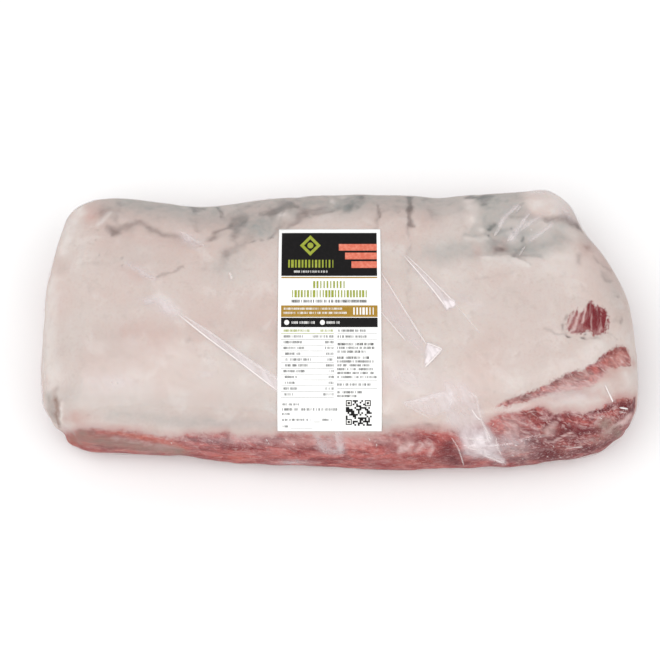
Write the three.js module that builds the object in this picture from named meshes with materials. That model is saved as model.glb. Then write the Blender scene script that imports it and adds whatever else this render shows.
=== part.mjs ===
// A boneless pork loin, fat side up, shrunk tight in a clear bag with a paper label on top.
// Millimetres. X runs along the loin, Y from the front side to the back, Z up from the face it lies on.
// The bag clings to the meat, so bag and meat are one solid. The label is a thin curved sheet of its own.
import * as THREE from "three";
import { mergeVertices } from "three/addons/utils/BufferGeometryUtils.js";

// Driving dimensions
const LENGTH = 320;
const WIDTH = 158;
const CAP_HEIGHT = 61; // top of the fat cap above the table
const GIRTH_HEIGHT = 21; // height at which the loin is widest
const SAG = 1.2; // how far the round underside is pressed flat against the table
const LABEL_WIDTH = 55.5;
const LABEL_THICKNESS = 0.4;
const LABEL_GAP = 0.45; // clearance between the label and the bag

// How square each side's section is: 2 is an ellipse, large is a box
const SQUARE_ENDS = 5.2;
const SQUARE_SIDES = 2.9;
const SQUARE_UNDERSIDE = 3.8;

// Mesh density
const CELLS_LONG = 60;
const CELLS_WIDE = 30;
const CELLS_HIGH = 9;
const LABEL_CELLS_WIDE = 10;
const LABEL_CELLS_LONG = 24;

// Relief is laid out on a plane that leans back by this angle, in which the fat cap and the front side both
// show. A place on it is [U, V] in millimetres: U along X, V up the plane from the foot of its normal.
const FACE_TILT = THREE.MathUtils.degToRad(68);
const FACE_UP = new THREE.Vector3(0, Math.sin(FACE_TILT), Math.cos(FACE_TILT));
const FACE_OUT = new THREE.Vector3(0, -Math.cos(FACE_TILT), Math.sin(FACE_TILT));

// Plan outline at the widest height, counter-clockwise from the front left corner, as shares of the half
// length and the half width. Each side has the same number of points and starts with its corner.
const OUTLINE = [
  [-0.91, -0.84], [-0.7, -0.895], [-0.32, -0.965], [0.1, -1.0], [0.5, -0.995], // front
  [0.89, -0.87], [0.98, -0.63], [0.999, -0.34], [0.975, 0.06], [0.91, 0.44], // right end
  [0.765, 0.875], [0.65, 0.965], [0.31, 0.945], [-0.08, 0.945], [-0.45, 0.875], // back
  [-0.865, 0.875], [-0.945, 0.62], [-0.985, 0.26], [-0.998, -0.12], [-0.985, -0.55], // left end
];

// Broad swellings and hollows: centre U and V, reach along and across, height
const SWELLINGS = [
  [-95, 18, 46, 34, 1.4], // left part of the fat cap
  [75, 12, 60, 30, 1.2], // right part of the fat cap
  [117, 77, 15, 12, 4.4], // knob of fat at the back right corner
  [92, 58, 20, 11, -4.6], // hollow beside the knob, which the bag bridges
  [-66, 74, 28, 12, -2.6], // dip in the back edge, left
  [52, 80, 9, 9, -2.0], // dip in the back edge, right
  [131, 16, 13, 11, -1.6], // window in the fat over bare meat
  [118, -34, 24, 13, -1.8], // trimmed front right corner
];

// Furrows: depth, half width, and the line that they follow
const FURROWS = [
  [2.6, 4.5, [[-136, -44], [-90, -43], [-40, -46], [20, -48], [58, -47], [88, -43]]], // edge of the fat cap
  [2.4, 4.2, [[62, -38], [90, -30], [118, -18], [140, -8], [156, 0]]], // upper seam of the front right corner
  [1.8, 4.0, [[70, -46], [105, -40], [136, -34], [157, -38]]], // lower seam of the front right corner
  [2.2, 4.4, [[-132, 66], [-120, 62], [-107, 66], [-92, 60], [-80, 57]]], // back edge of the fat cap, left
  [2.0, 4.5, [[-80, 57], [-58, 66], [-46, 74]]], // crease that climbs over the back
  [1.8, 4.5, [[-52, 40], [-40, 58], [-20, 72], [0, 78]]], // crease beside the label
  [1.6, 3.6, [[37, 40], [38, 60], [37, 82]]], // cross crease right of the label
  [2.6, 4.2, [[70, 51], [96, 52], [112, 62], [134, 62], [150, 54]]], // fold under the knob
  [2.2, 4.2, [[100, 70], [120, 76], [142, 70]]], // fold behind the knob
  [3.6, 3.8, [[-149, -20], [-149, -34], [-147, -46], [-142, -54]]], // slot beside the left end flap
];

const halfLength = LENGTH / 2;
const halfWidth = WIDTH / 2;
const outlineCurve = new THREE.CatmullRomCurve3(
  OUTLINE.map(([u, v]) => new THREE.Vector3(u * halfLength, v * halfWidth, 0)),
  true,
  "catmullrom",
  0.5,
);

// The outline point that a point of the square [-1, 1] x [-1, 1] rim stands for
function outlineAt(a, b) {
  const q = Math.max(Math.abs(a), Math.abs(b));
  const [u, v] = [a / q, b / q];
  let turn;
  if (v === -1) turn = (u + 1) / 2;
  else if (u === 1) turn = 1 + (v + 1) / 2;
  else if (v === 1) turn = 2 + (1 - u) / 2;
  else turn = 3 + (1 - v) / 2;
  return outlineCurve.getPoint((turn / 4) % 1);
}

// Squareness of the section towards an outline point
function squareness(rim, above) {
  if (!above) return SQUARE_UNDERSIDE;
  const alongEnd = Math.pow(rim.x / halfLength, 4);
  const alongSide = Math.pow(rim.y / halfWidth, 4);
  return (SQUARE_ENDS * alongEnd + SQUARE_SIDES * alongSide) / (alongEnd + alongSide);
}

// Height of the fat cap before relief: it falls a little towards the back and the left end
function capHeight(x, y) {
  return CAP_HEIGHT - 0.03 * Math.max(0, y) + 0.008 * x;
}

// Maps a point of the box [-1, 1]^3 surface onto the smooth loin
function smoothLoin(a, b, c) {
  const q = Math.max(Math.abs(a), Math.abs(b));
  if (q === 0) return new THREE.Vector3(0, 0, c > 0 ? capHeight(0, 0) : 0);
  const rim = outlineAt(a, b);
  const n = squareness(rim, c > 0);
  const reach = Math.pow(Math.pow(q, n) + Math.pow(Math.abs(c), n), 1 / n);
  const x = (rim.x * q) / reach;
  const y = (rim.y * q) / reach;
  const lift = Math.abs(c) / reach;
  if (c > 0) return new THREE.Vector3(x, y, GIRTH_HEIGHT + lift * (capHeight(x, y) - GIRTH_HEIGHT));
  return new THREE.Vector3(x, y, GIRTH_HEIGHT - lift * (GIRTH_HEIGHT + SAG));
}

// Distance from a place on the layout plane to a line of places
function distanceToLine(u, v, line) {
  let nearest = Infinity;
  for (let i = 1; i < line.length; i++) {
    const [[u0, v0], [u1, v1]] = [line[i - 1], line[i]];
    const [du, dv] = [u1 - u0, v1 - v0];
    const t = THREE.MathUtils.clamp(((u - u0) * du + (v - v0) * dv) / (du * du + dv * dv), 0, 1);
    nearest = Math.min(nearest, Math.hypot(u - u0 - t * du, v - v0 - t * dv));
  }
  return nearest;
}

// Gentle unevenness of the whole body
function lumps(p) {
  return 0.55 * Math.sin(p.x / 17 + 1.3) * Math.sin(p.y / 13 + p.z / 19)
    + 0.45 * Math.sin(p.x / 9.5 - p.y / 12 + 0.7) * Math.cos(p.z / 11 + p.x / 31);
}

// How far the surface moves out along its normal at point p
function relief(p, normal) {
  const facing = THREE.MathUtils.smoothstep(normal.dot(FACE_OUT), -0.1, 0.35);
  const u = p.x;
  const v = p.dot(FACE_UP);
  const offTable = THREE.MathUtils.smoothstep(normal.z, -0.98, -0.7);
  let out = offTable * lumps(p);
  for (const [cu, cv, ru, rv, height] of SWELLINGS) {
    out += facing * height * Math.exp(-(((u - cu) / ru) ** 2) - ((v - cv) / rv) ** 2);
  }
  for (const [depth, halfWide, line] of FURROWS) {
    out -= facing * depth * Math.exp(-((distanceToLine(u, v, line) / halfWide) ** 2));
  }
  return out;
}

function positionsOnly(geometry) {
  geometry.deleteAttribute("normal");
  geometry.deleteAttribute("uv");
  return mergeVertices(geometry, 1e-4);
}

function buildLoin() {
  const geometry = positionsOnly(new THREE.BoxGeometry(2, 2, 2, CELLS_LONG, CELLS_WIDE, CELLS_HIGH));
  const position = geometry.attributes.position;
  const point = new THREE.Vector3();
  const tidy = (value) => (Math.abs(Math.abs(value) - 1) < 1e-6 ? Math.sign(value) : value);
  for (let i = 0; i < position.count; i++) {
    point.fromBufferAttribute(position, i);
    const placed = smoothLoin(tidy(point.x), tidy(point.y), tidy(point.z));
    position.setXYZ(i, placed.x, placed.y, placed.z);
  }
  geometry.computeVertexNormals();
  const normals = geometry.attributes.normal;
  const normal = new THREE.Vector3();
  for (let i = 0; i < position.count; i++) {
    point.fromBufferAttribute(position, i);
    normal.fromBufferAttribute(normals, i);
    point.addScaledVector(normal, relief(point, normal));
    position.setXYZ(i, point.x, point.y, Math.max(0, point.z));
  }
  geometry.computeVertexNormals();
  return geometry;
}

// The label's rectangle on the layout plane
const LABEL = { left: -32.8, top: 62.3, bottom: -46.6 };

// Drapes the label's rectangle over the loin, along the layout plane's normal, as a thin closed sheet
function buildLabel(loin) {
  const caster = new THREE.Raycaster();
  const start = 200;
  const geometry = positionsOnly(new THREE.BoxGeometry(1, 1, 1, LABEL_CELLS_WIDE, LABEL_CELLS_LONG, 1));
  const position = geometry.attributes.position;
  for (let i = 0; i < position.count; i++) {
    const u = LABEL.left + LABEL_WIDTH * (position.getX(i) + 0.5);
    const v = THREE.MathUtils.lerp(LABEL.bottom, LABEL.top, position.getY(i) + 0.5);
    const origin = new THREE.Vector3(u, 0, 0).addScaledVector(FACE_UP, v).addScaledVector(FACE_OUT, start);
    caster.set(origin, FACE_OUT.clone().negate());
    const hit = caster.intersectObject(loin)[0];
    const rise = LABEL_GAP + (position.getZ(i) > 0 ? LABEL_THICKNESS : 0);
    const placed = hit.point.addScaledVector(FACE_OUT, rise / hit.face.normal.dot(FACE_OUT));
    position.setXYZ(i, placed.x, placed.y, placed.z);
  }
  geometry.computeVertexNormals();
  return geometry;
}

const fatUnderFilm = new THREE.MeshStandardMaterial({ color: 0xd9c9c2, roughness: 0.35, metalness: 0 });
const paper = new THREE.MeshStandardMaterial({ color: 0xf6f6f2, roughness: 0.5, metalness: 0 });

const loin = new THREE.Mesh(buildLoin(), fatUnderFilm);
loin.name = "bagged_loin";
const label = new THREE.Mesh(buildLabel(loin), paper);
label.name = "label";

const part = new THREE.Group();
part.add(loin, label);

// The origin is the middle of the underside of the part's box
const box = new THREE.Box3().setFromObject(part);
const middle = box.getCenter(new THREE.Vector3());
for (const mesh of part.children) mesh.position.set(-middle.x, -middle.y, -box.min.z);

export default part;
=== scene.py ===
"""A boneless raw pork loin, fat side up, shrunk tight in a clear bag with a paper label across the top.

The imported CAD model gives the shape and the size. This script adds the fine surface of the meat, the clear
film with its folds and wrinkles, and the printed label, each in the place that the frame gives it. Blender
works in metres, and values whose names end in mm are millimetres. Marks that the photograph shows are laid
out in its pixels, in named groups, and are carried onto the solid along the photograph's lines of sight.
"""

import logging
import math
from collections.abc import Sequence
from dataclasses import dataclass
from enum import Enum
from typing import Any

import bmesh
import bpy
import numpy as np
from bpy.types import Material, Mesh, Node, NodeSocket, NodeTree, Object
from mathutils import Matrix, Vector
from mathutils.bvhtree import BVHTree


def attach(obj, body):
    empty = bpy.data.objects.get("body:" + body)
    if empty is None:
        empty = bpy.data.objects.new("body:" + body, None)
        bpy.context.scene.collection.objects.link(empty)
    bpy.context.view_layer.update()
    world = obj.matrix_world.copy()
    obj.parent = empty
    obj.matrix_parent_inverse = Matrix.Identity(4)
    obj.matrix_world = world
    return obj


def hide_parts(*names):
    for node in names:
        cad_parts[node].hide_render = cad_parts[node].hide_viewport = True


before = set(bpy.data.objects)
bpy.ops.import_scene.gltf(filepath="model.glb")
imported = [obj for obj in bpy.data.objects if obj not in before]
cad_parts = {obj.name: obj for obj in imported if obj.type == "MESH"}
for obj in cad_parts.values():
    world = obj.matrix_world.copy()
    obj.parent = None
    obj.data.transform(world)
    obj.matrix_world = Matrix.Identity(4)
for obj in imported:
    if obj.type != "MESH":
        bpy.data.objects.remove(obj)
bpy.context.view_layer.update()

LOG = logging.getLogger("pork_loin")
LOIN_NODE = "bagged_loin"
LABEL_NODE = "label"
BODY = "root"
MM = 0.001

Pixel = tuple[float, float]
Colour = tuple[float, float, float]
Source = Node | NodeSocket
Array = np.ndarray


def srgb(red: int, green: int, blue: int) -> Colour:
    """A colour in 0 to 255 as a screen shows it, turned into linear light."""
    shares = (value / 255 for value in (red, green, blue))
    return tuple(s / 12.92 if s <= 0.04045 else ((s + 0.055) / 1.055) ** 2.4 for s in shares)


def smooth_step(values: Array, low: float, high: float) -> Array:
    """Runs from 0 at low to 1 at high with soft ends."""
    t = np.clip((values - low) / (high - low), 0, 1)
    return t * t * (3 - 2 * t)


# The photograph's point of view


@dataclass(frozen=True)
class Viewpoint:
    """Where the photograph was taken from, and how it maps the part onto pixels."""

    elevation: float = math.radians(68)
    distance: float = 1.2174
    aim_across: float = -0.0050
    aim_up: float = 0.00866
    lens_mm: float = 120.0
    sensor_mm: float = 36.0
    frame_pixels: int = 660

    def up(self) -> Array:
        """The photograph's upward direction on the part."""
        return np.array([0, math.sin(self.elevation), math.cos(self.elevation)])

    def out(self) -> Array:
        """The direction from the part to the camera."""
        return np.array([0, -math.cos(self.elevation), math.sin(self.elevation)])

    def eye(self) -> Array:
        """Where the camera stands."""
        return np.array([self.aim_across, 0, 0]) + self.aim_up * self.up() + self.distance * self.out()

    def focal_pixels(self) -> float:
        """The lens's focal length in the photograph's pixels."""
        return self.lens_mm / self.sensor_mm * self.frame_pixels

    def pixels(self, points: Array) -> Array:
        """The pixel at which the photograph shows each point.

        Args:
            points: One row of three coordinates for each point.

        Returns:
            One row of two pixel coordinates for each point.
        """
        depth = self.distance - points @ self.out()
        across = (points[:, 0] - self.aim_across) / depth
        rise = (points @ self.up() - self.aim_up) / depth
        middle = self.frame_pixels / 2
        return np.stack([middle + across * self.focal_pixels(), middle - rise * self.focal_pixels()], 1)

    def facing(self, points: Array, normals: Array) -> Array:
        """How squarely each point faces the camera, from -1 to 1."""
        sight = self.eye() - points
        sight /= np.linalg.norm(sight, axis=1, keepdims=True)
        return (sight * normals).sum(1)

    def sight(self, pixel: Pixel) -> Array:
        """The direction in which the camera sees a pixel."""
        middle = self.frame_pixels / 2
        across = (pixel[0] - middle) / self.focal_pixels()
        rise = (middle - pixel[1]) / self.focal_pixels()
        direction = across * np.array([1, 0, 0]) + rise * self.up() - self.out()
        return direction / np.linalg.norm(direction)

    def make_camera(self) -> None:
        """Adds the camera and makes it the scene's."""
        data = bpy.data.cameras.new("photo_camera")
        data.lens = self.lens_mm
        data.sensor_width = self.sensor_mm
        camera = bpy.data.objects.new("photo_camera", data)
        camera.location = self.eye()
        camera.rotation_euler = (math.pi / 2 - self.elevation, 0, 0)
        bpy.context.scene.collection.objects.link(camera)
        bpy.context.scene.camera = camera


VIEW = Viewpoint()


# Marks that the photograph shows


@dataclass(frozen=True)
class Trace:
    """A soft line of pixels, such as a vein, or the middle of a hazy band."""

    line: tuple[Pixel, ...]
    half_width: float
    strength: float = 1.0

    def cover(self, places: Array) -> Array:
        """How strongly the mark covers each place, from 0 to its strength."""
        return self.strength * np.exp(-((line_distance(places, self.line) / self.half_width) ** 2))


@dataclass(frozen=True)
class Patch:
    """A soft oval of pixels, turned counter-clockwise by some degrees."""

    centre: Pixel
    reach: Pixel
    strength: float = 1.0
    turn: float = 0.0

    def cover(self, places: Array) -> Array:
        """How strongly the mark covers each place, from 0 to its strength."""
        away = places - np.array(self.centre)
        cos, sin = math.cos(math.radians(self.turn)), math.sin(math.radians(self.turn))
        along = (away[:, 0] * cos - away[:, 1] * sin) / self.reach[0]
        across = (away[:, 0] * sin + away[:, 1] * cos) / self.reach[1]
        return self.strength * np.exp(-(along**2) - across**2)


@dataclass(frozen=True)
class Facet:
    """A flat-sided area of pixels with fairly crisp edges, such as a flap of film."""

    outline: tuple[Pixel, ...]
    strength: float = 1.0
    edge: float = 2.0

    def cover(self, places: Array) -> Array:
        """How strongly the mark covers each place, from 0 to its strength."""
        return self.strength * smooth_step(depth_inside(places, self.outline), -self.edge, self.edge)


def line_distance(places: Array, line: Sequence[Pixel]) -> Array:
    """The distance from each place to a line of straight stretches.

    Args:
        places: One row of two coordinates for each place.
        line: The line's corners, in order.

    Returns:
        One distance for each place.
    """
    nearest = np.full(len(places), np.inf)
    corners = np.array(line, float)
    for start, end in zip(corners[:-1], corners[1:]):
        stretch = end - start
        share = np.clip((places - start) @ stretch / (stretch @ stretch), 0, 1)
        away = places - start - share[:, None] * stretch
        nearest = np.minimum(nearest, np.hypot(away[:, 0], away[:, 1]))
    return nearest


def depth_inside(places: Array, outline: Sequence[Pixel]) -> Array:
    """How deep each place lies inside a closed outline, below 0 outside it.

    Args:
        places: One row of two coordinates for each place.
        outline: The outline's corners, in order.

    Returns:
        The distance to the outline for each place, with its sign.
    """
    corners = np.array(outline, float)
    inside = np.zeros(len(places), bool)
    for start, end in zip(corners, np.roll(corners, -1, 0)):
        if start[1] == end[1]:
            continue
        spans = (start[1] > places[:, 1]) != (end[1] > places[:, 1])
        crossing = start[0] + (places[:, 1] - start[1]) * (end[0] - start[0]) / (end[1] - start[1])
        inside ^= spans & (places[:, 0] < crossing)
    away = line_distance(places, [*outline, outline[0]])
    return np.where(inside, away, -away)


def covered(places: Array, marks: Sequence[Trace | Patch | Facet]) -> Array:
    """How strongly the marks together cover each place, each over what the others leave bare."""
    bare = np.ones(len(places))
    for mark in marks:
        bare *= 1 - np.clip(mark.cover(places), 0, 1)
    return 1 - bare


# Bare meat, as closed outlines in pixels
FRONT_MEAT = (
    (56, 446), (62, 437), (65, 435.5), (72, 434), (76, 432.5), (92, 430.5), (110, 432), (121, 431.5),
    (132, 433.5), (143, 435.5), (153, 437), (166, 439), (178, 438.5), (188, 435.5), (201, 437),
    (213, 435.5), (227, 433.5), (236, 439), (259, 438), (272, 438), (279, 435.5), (308, 435.5),
    (319, 438), (327, 437), (349, 437), (375, 436), (389, 435), (399, 433), (419, 431), (438, 431.5),
    (452, 433), (470, 430), (486, 424), (500, 415.5), (512, 413.5), (524, 411), (541, 407), (547, 409),
    (554, 414), (569, 411), (583, 415), (596, 410.5), (606, 405.5), (614, 402.5), (618, 399), (637, 398),
    (660, 400), (660, 500), (30, 500), (30, 446),
)
UPPER_STRIP = (
    (498, 405.5), (506, 401), (517, 397), (527, 393), (535, 390), (544, 386), (552, 381), (562, 376.5),
    (570, 373.5), (576, 370.5), (584, 369), (590, 365.5), (596.5, 362.5), (598.5, 358), (607, 352),
    (616, 347), (621, 345), (626, 346), (629.5, 351), (632, 359), (630, 366), (618.5, 366), (608, 368.5),
    (604, 375), (600, 381), (590, 386), (581, 388), (567, 390), (554, 393), (541, 397), (529, 400),
    (515, 403.5), (506, 406.5),
)
WINDOW = (
    (589, 300.5), (592.7, 300.5), (596.3, 305), (602.2, 306.3), (607.7, 312), (608.6, 320),
    (608.2, 332.5), (603, 335), (596.3, 333.8), (589, 332.4), (577, 332.4), (570, 330), (566, 329),
    (569, 321), (573.5, 311), (577.5, 308.5), (582, 309.5), (585, 308.5),
)

# Grey and brownish vessels and seams in the fat, with painted fold shadows: a dark line along the ledge where
# the fat cap drops to the back, a dark band under the knob at the upper right, and a line in the crease at
# the left end
VESSELS_AND_FOLD_SHADE = (
    # painted shadow along the ledge where the fat cap drops to the back
    Trace(
        ((107, 227), (113, 231), (121, 228), (131, 224), (142, 223), (152, 228), (163, 233), (178, 237.5)),
        4.8,
        0.58,
    ),
    Trace(((112, 230), (116, 230.5)), 3.5, 0.45),
    Trace(((118, 203), (115, 212), (117, 222)), 4.1, 0.36),
    Trace(((187, 214), (192, 221), (196, 230)), 3, 0.31),
    Trace(((197, 205), (197.5, 218), (197, 230)), 3.5, 0.31),
    Trace(((193, 205), (197, 209), (205, 206)), 3.2, 0.63),
    Trace(((218, 204), (221, 210), (222, 216)), 2.7, 0.65),
    Trace(((207, 240), (214, 235), (222, 229), (232, 225)), 2.7, 0.63),
    Facet(((228, 213), (249, 214), (246, 224), (240, 234), (234, 242), (230, 240), (233, 226)), 0.6, 4.5),
    Trace(((249, 236), (243, 243), (234, 250), (226, 256)), 5.4, 0.45),
    Trace(((226, 252), (222, 262), (220, 269)), 6.1, 0.31),
    Trace(((262, 213), (276, 211), (284, 207), (296, 204)), 3.5, 0.54),
    Trace(((281, 224), (277, 232), (270, 238)), 2.7, 0.45),
    Trace(((238, 207), (250, 205), (262, 202)), 3.2, 0.31),
    Trace(((272, 214), (279, 206), (290, 203.5), (300, 207), (304, 214), (298, 220), (288, 226)), 4.4, 0.5),
    Trace(((281.5, 219.5), (285, 210)), 1.3, 0.4),
    Trace(((304, 214.5), (310, 211.5), (316, 210.8), (332, 209.5)), 2.2, 0.36),
    Facet(
        ((319, 194), (367, 193), (365, 200), (360, 207), (353, 212), (345, 214), (336, 212), (327, 205)),
        0.28,
        4,
    ),
    Patch((351, 206), (6, 5), 0.55),
    Patch((363, 197), (4.4, 3), 0.7),
    Patch((397.5, 199), (3.4, 1.5), 0.5),
    Patch((398, 210.5), (3.2, 1.6), 0.45, 20),
    Patch((425, 197.5), (3.6, 2.2), 0.6),
    Trace(((396, 430), (410, 428), (424, 426), (438, 427.5)), 4.2, 0.4),
    Patch((430, 425), (4.5, 2.0), 0.5),
    # painted shade in the crease at the left end
    Trace(((55.2, 402), (56, 412), (58, 424)), 1.4, 0.4),
    Trace(((300, 214), (318, 212), (338, 209)), 3.5, 0.27),
    Trace(((377, 206), (379.4, 210), (379.5, 215)), 2.6, 0.7),
    Trace(((376, 217), (374.5, 230)), 2.0, 0.4),
    Trace(((409.5, 194), (410, 208)), 3.6, 0.9),
    Trace(((409.5, 208), (409, 224)), 3.2, 0.8),
    Trace(((409, 226), (409, 262), (408, 308)), 2.4, 0.31),
    Trace(((384, 210), (394, 208), (402, 206)), 2.2, 0.27),
    Trace(((426, 204), (433, 214)), 3, 0.27),
    Trace(((83, 262), (100, 263), (117, 261)), 2.7, 0.2),
    Trace(((157, 277), (166, 274), (176, 270), (184, 266)), 2.4, 0.5),
    Patch((204, 268), (5, 4), 0.3, -40),
    Patch((186, 340), (2.2, 2.6), 0.4, -30),
    Trace(((191, 257), (205, 262)), 3.2, 0.18),
    Trace(((468, 279), (490, 277), (512, 274)), 2.4, 0.23),
    Trace(((547, 329.4), (556, 332), (566, 334.6)), 1.8, 0.36),
    Patch((568.4, 336), (4.2, 1.5), 1.0, -8),
    Patch((584.5, 338.2), (4.6, 1.7), 1.0, -10),
    Patch((586.5, 334.4), (2.2, 1.4), 0.8),
    Patch((596.5, 337.6), (6, 2.4), 0.5),
    Patch((566.6, 318), (1.8, 4), 0.5, -20),
    Patch((563.6, 327.5), (1.8, 3.4), 0.6, -20),
    Trace(((608, 334), (613, 336), (618, 339)), 1.3, 0.4),
    Trace(((465, 235.6), (478, 234.4), (488, 235.6)), 2.2, 0.32),
    Patch((493, 225), (7, 5.5), 0.5, 20),
    Trace(((489.6, 228.2), (492, 225.4), (496.5, 223.6)), 2.0, 0.6),
    Patch((490.2, 227), (1.5, 1.5), 0.9),
    Patch((490.8, 236.6), (1.7, 2.3)),
    Patch((500.6, 247.8), (7, 3.0)),
    Patch((495, 240), (3.4, 2.4), 0.4),
    Trace(((521, 239.6), (525.6, 237.6)), 1.7, 0.75),
    Trace(((524.5, 243), (520, 249), (514, 254)), 3.2, 0.5),
    Patch((514.6, 231.6), (1.8, 1.2), 1.0, 30),
    Patch((510.5, 227.8), (2.4, 1.6), 0.7),
    Trace(((515.5, 212), (520, 206), (523, 203)), 2.0, 0.5),
    Trace(((508, 215.5), (516, 217), (523, 216)), 2.0, 0.4),
    Patch((483, 203.4), (5, 4.4), 0.7, 20),
    Trace(((468, 196), (480, 197), (492, 195)), 3.4, 0.8),
    # painted shade under the knob at the upper right, in this and the next two marks
    Trace(((546, 218.5), (560, 218.6), (572, 221.6), (584, 228)), 4.6, 0.7),
    Patch((579, 225.5), (6, 3.4), 0.9, -40),
    Patch((571, 217), (9, 7), 0.4, -40),
    Trace(((499, 254), (520, 255), (542, 255)), 2.4, 0.36),
    Trace(((519, 256.5), (527, 260), (534, 265)), 1.2, 0.4),
    Patch((579, 259), (4.5, 7), 0.5),
    Patch((588, 247), (6, 6), 0.5),
    Trace(((594, 258), (603, 265), (612, 271)), 2.2, 0.44),
    Trace(((601, 274), (607, 277), (613, 281)), 1.8, 0.44),
    Patch((619, 294), (3, 2.2), 0.45),
    Patch((617, 319), (3.4, 6), 0.4, 10),
    Patch((622, 320), (2.0, 6), 0.6),
    Patch((103, 213), (9, 9), 0.5),
    Patch((95.5, 238), (1.6, 2), 0.5),
    Patch((96, 231), (2.0, 1.6), 0.5),
    Patch((98, 256), (1.6, 1.8), 0.5),
    Patch((107, 254), (1.6, 1.8), 0.5),
    Patch((121, 257), (1.8, 1.8), 0.6),
    Patch((122, 266), (1.8, 1.8), 0.7),
    Patch((253, 240), (2.0, 1.6), 0.6),
    Patch((261, 240), (2.0, 1.6), 0.6),
    Patch((272, 237), (2.0, 1.6), 0.6),
    Patch((441.7, 375), (1.6, 1.4), 0.6),
    Patch((186, 342), (2.4, 2.4), 0.4),
    Patch((170, 356), (2.4, 2.0), 0.3),
    Patch((191, 338), (2.4, 2.0), 0.4),
    Patch((88.4, 416), (2.2, 1.8), 0.34),
)

# Broad bluish grey and pinkish casts of the fat, with painted shade along the back edge, along the front
# ridge and in the crease at the left end
COOL_CASTS_AND_SHADE = (
    Patch((262, 227), (19, 12), 0.8),
    Patch((292, 209), (19, 9), 0.4, 8),
    Patch((240, 222), (12, 14), 0.42),
    Patch((228, 262), (22, 16), 0.3, 40),
    Facet(
        (
            (470, 191), (522, 188), (529, 212), (546, 219), (566, 224), (570, 240), (548, 254), (524, 256),
            (505, 256), (488, 252), (480, 240), (467, 234), (475, 221), (480, 211),
        ),
        0.62,
        7,
    ),
    Patch((500, 232), (20, 9), 0.4),
    Patch((527, 246), (22, 8), 0.4),
    Patch((450, 250), (34, 12), 0.5, 8),
    # painted shade: darker along the back edge, in this and the next five marks
    Patch((300, 198), (70, 8), 0.24),
    Patch((400, 196), (60, 8), 0.34),
    Trace(((120, 196), (250, 204), (400, 200), (480, 200)), 15, 0.34),
    Patch((150, 200), (90, 7), 0.3),
    Trace(((112, 212), (160, 214), (205, 219), (240, 222), (300, 208)), 13, 0.3),
    Trace(((300, 204), (380, 202), (460, 204)), 12, 0.24),
    Patch((572, 392), (28, 6), 0.3, 12),
    Patch((346, 203), (17, 10), 0.7),
    Patch((436, 214), (8, 9), 0.3),
    Patch((137, 254), (44, 20), 0.14),
    Patch((590, 232), (18, 12), 0.34, -45),
    Patch((616, 290), (14, 34), 0.3, 20),
    Trace(((128, 200), (170, 206), (215, 212)), 10, 0.36),
    # painted shade in the crease at the left end
    Trace(((48, 395), (50, 405), (54, 416)), 4, 0.5),
    # painted shade along the front ridge, in this and the next two marks
    Trace(((110, 416), (180, 421), (280, 426), (390, 424)), 6, 0.3),
    Patch((200, 425), (40, 7), 0.3),
    Trace(((70, 398), (160, 402), (280, 404)), 15, 0.2),
    Patch((100, 345), (46, 40), 0.1),
    Patch((236, 350), (44, 50), 0.1),
)
WARM_CASTS_AND_SHADE = (
    Patch((92, 214), (10, 10), 0.8),
    Patch((150, 240), (46, 6), 0.2, -8),
    # painted shade along the back edge, in this and the next mark
    Trace(((112, 212), (160, 214), (205, 219), (240, 222), (300, 208)), 13, 0.3),
    Trace(((300, 204), (380, 202), (460, 204)), 12, 0.2),
    Patch((620, 384), (15, 13), 0.45),
    Trace(((520, 407), (548, 400), (570, 393), (592, 389), (606, 377), (612, 370), (628, 368)), 4.5, 0.7),
    Patch((137, 254), (44, 20), 0.14),
    Patch((576, 396), (24, 8), 0.5, 4),
    Patch((501, 248), (8, 4), 0.9),
    # painted shade in the crease at the left end
    Trace(((55.4, 400), (56.2, 412), (58.4, 424)), 2.0, 0.5),
    Trace(((396, 431), (410, 429), (424, 427), (440, 428)), 5, 0.6),
    Patch((150, 340), (46, 18), 0.3),
    Patch((129, 330), (12, 6), 0.3),
    Patch((135, 275), (18, 9), 0.34, -20),
    Patch((501.5, 242), (8.5, 4.6)),
    Patch((477, 251), (6, 4), 0.5, 30),
    Patch((547, 206), (5, 3), 0.8),
    Patch((530, 199), (8, 2.4), 0.5),
    Patch((532, 216), (14, 7), 0.4),
    Patch((430, 214), (12, 12), 0.3),
    Patch((76, 418), (16, 8), 0.8),
    Patch((116, 428), (22, 4), 0.6),
    Patch((153, 430), (5, 5), 0.5),
    Patch((540, 330), (60, 50), 0.16),
    Patch((604, 376), (16, 10), 0.7, 24),
    Patch((625, 372), (5, 12), 0.5),
    Patch((620, 398), (9, 6), 0.95),
    Patch((635, 363), (3, 6)),
    Trace(((575, 394), (588, 392), (600, 393), (608, 400)), 3.0, 0.6),
    Patch((578, 388), (16, 5), 0.8, 14),
    Patch((548, 404), (22, 4), 0.3, 14),
    Patch((609, 262), (10, 24), 0.4, 34),
    Patch((587, 247), (8, 8), 0.7),
    Patch((196, 316), (60, 34), 0.12),
    Trace(((60, 300), (62, 350), (66, 400)), 6, 0.1),
)
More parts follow.
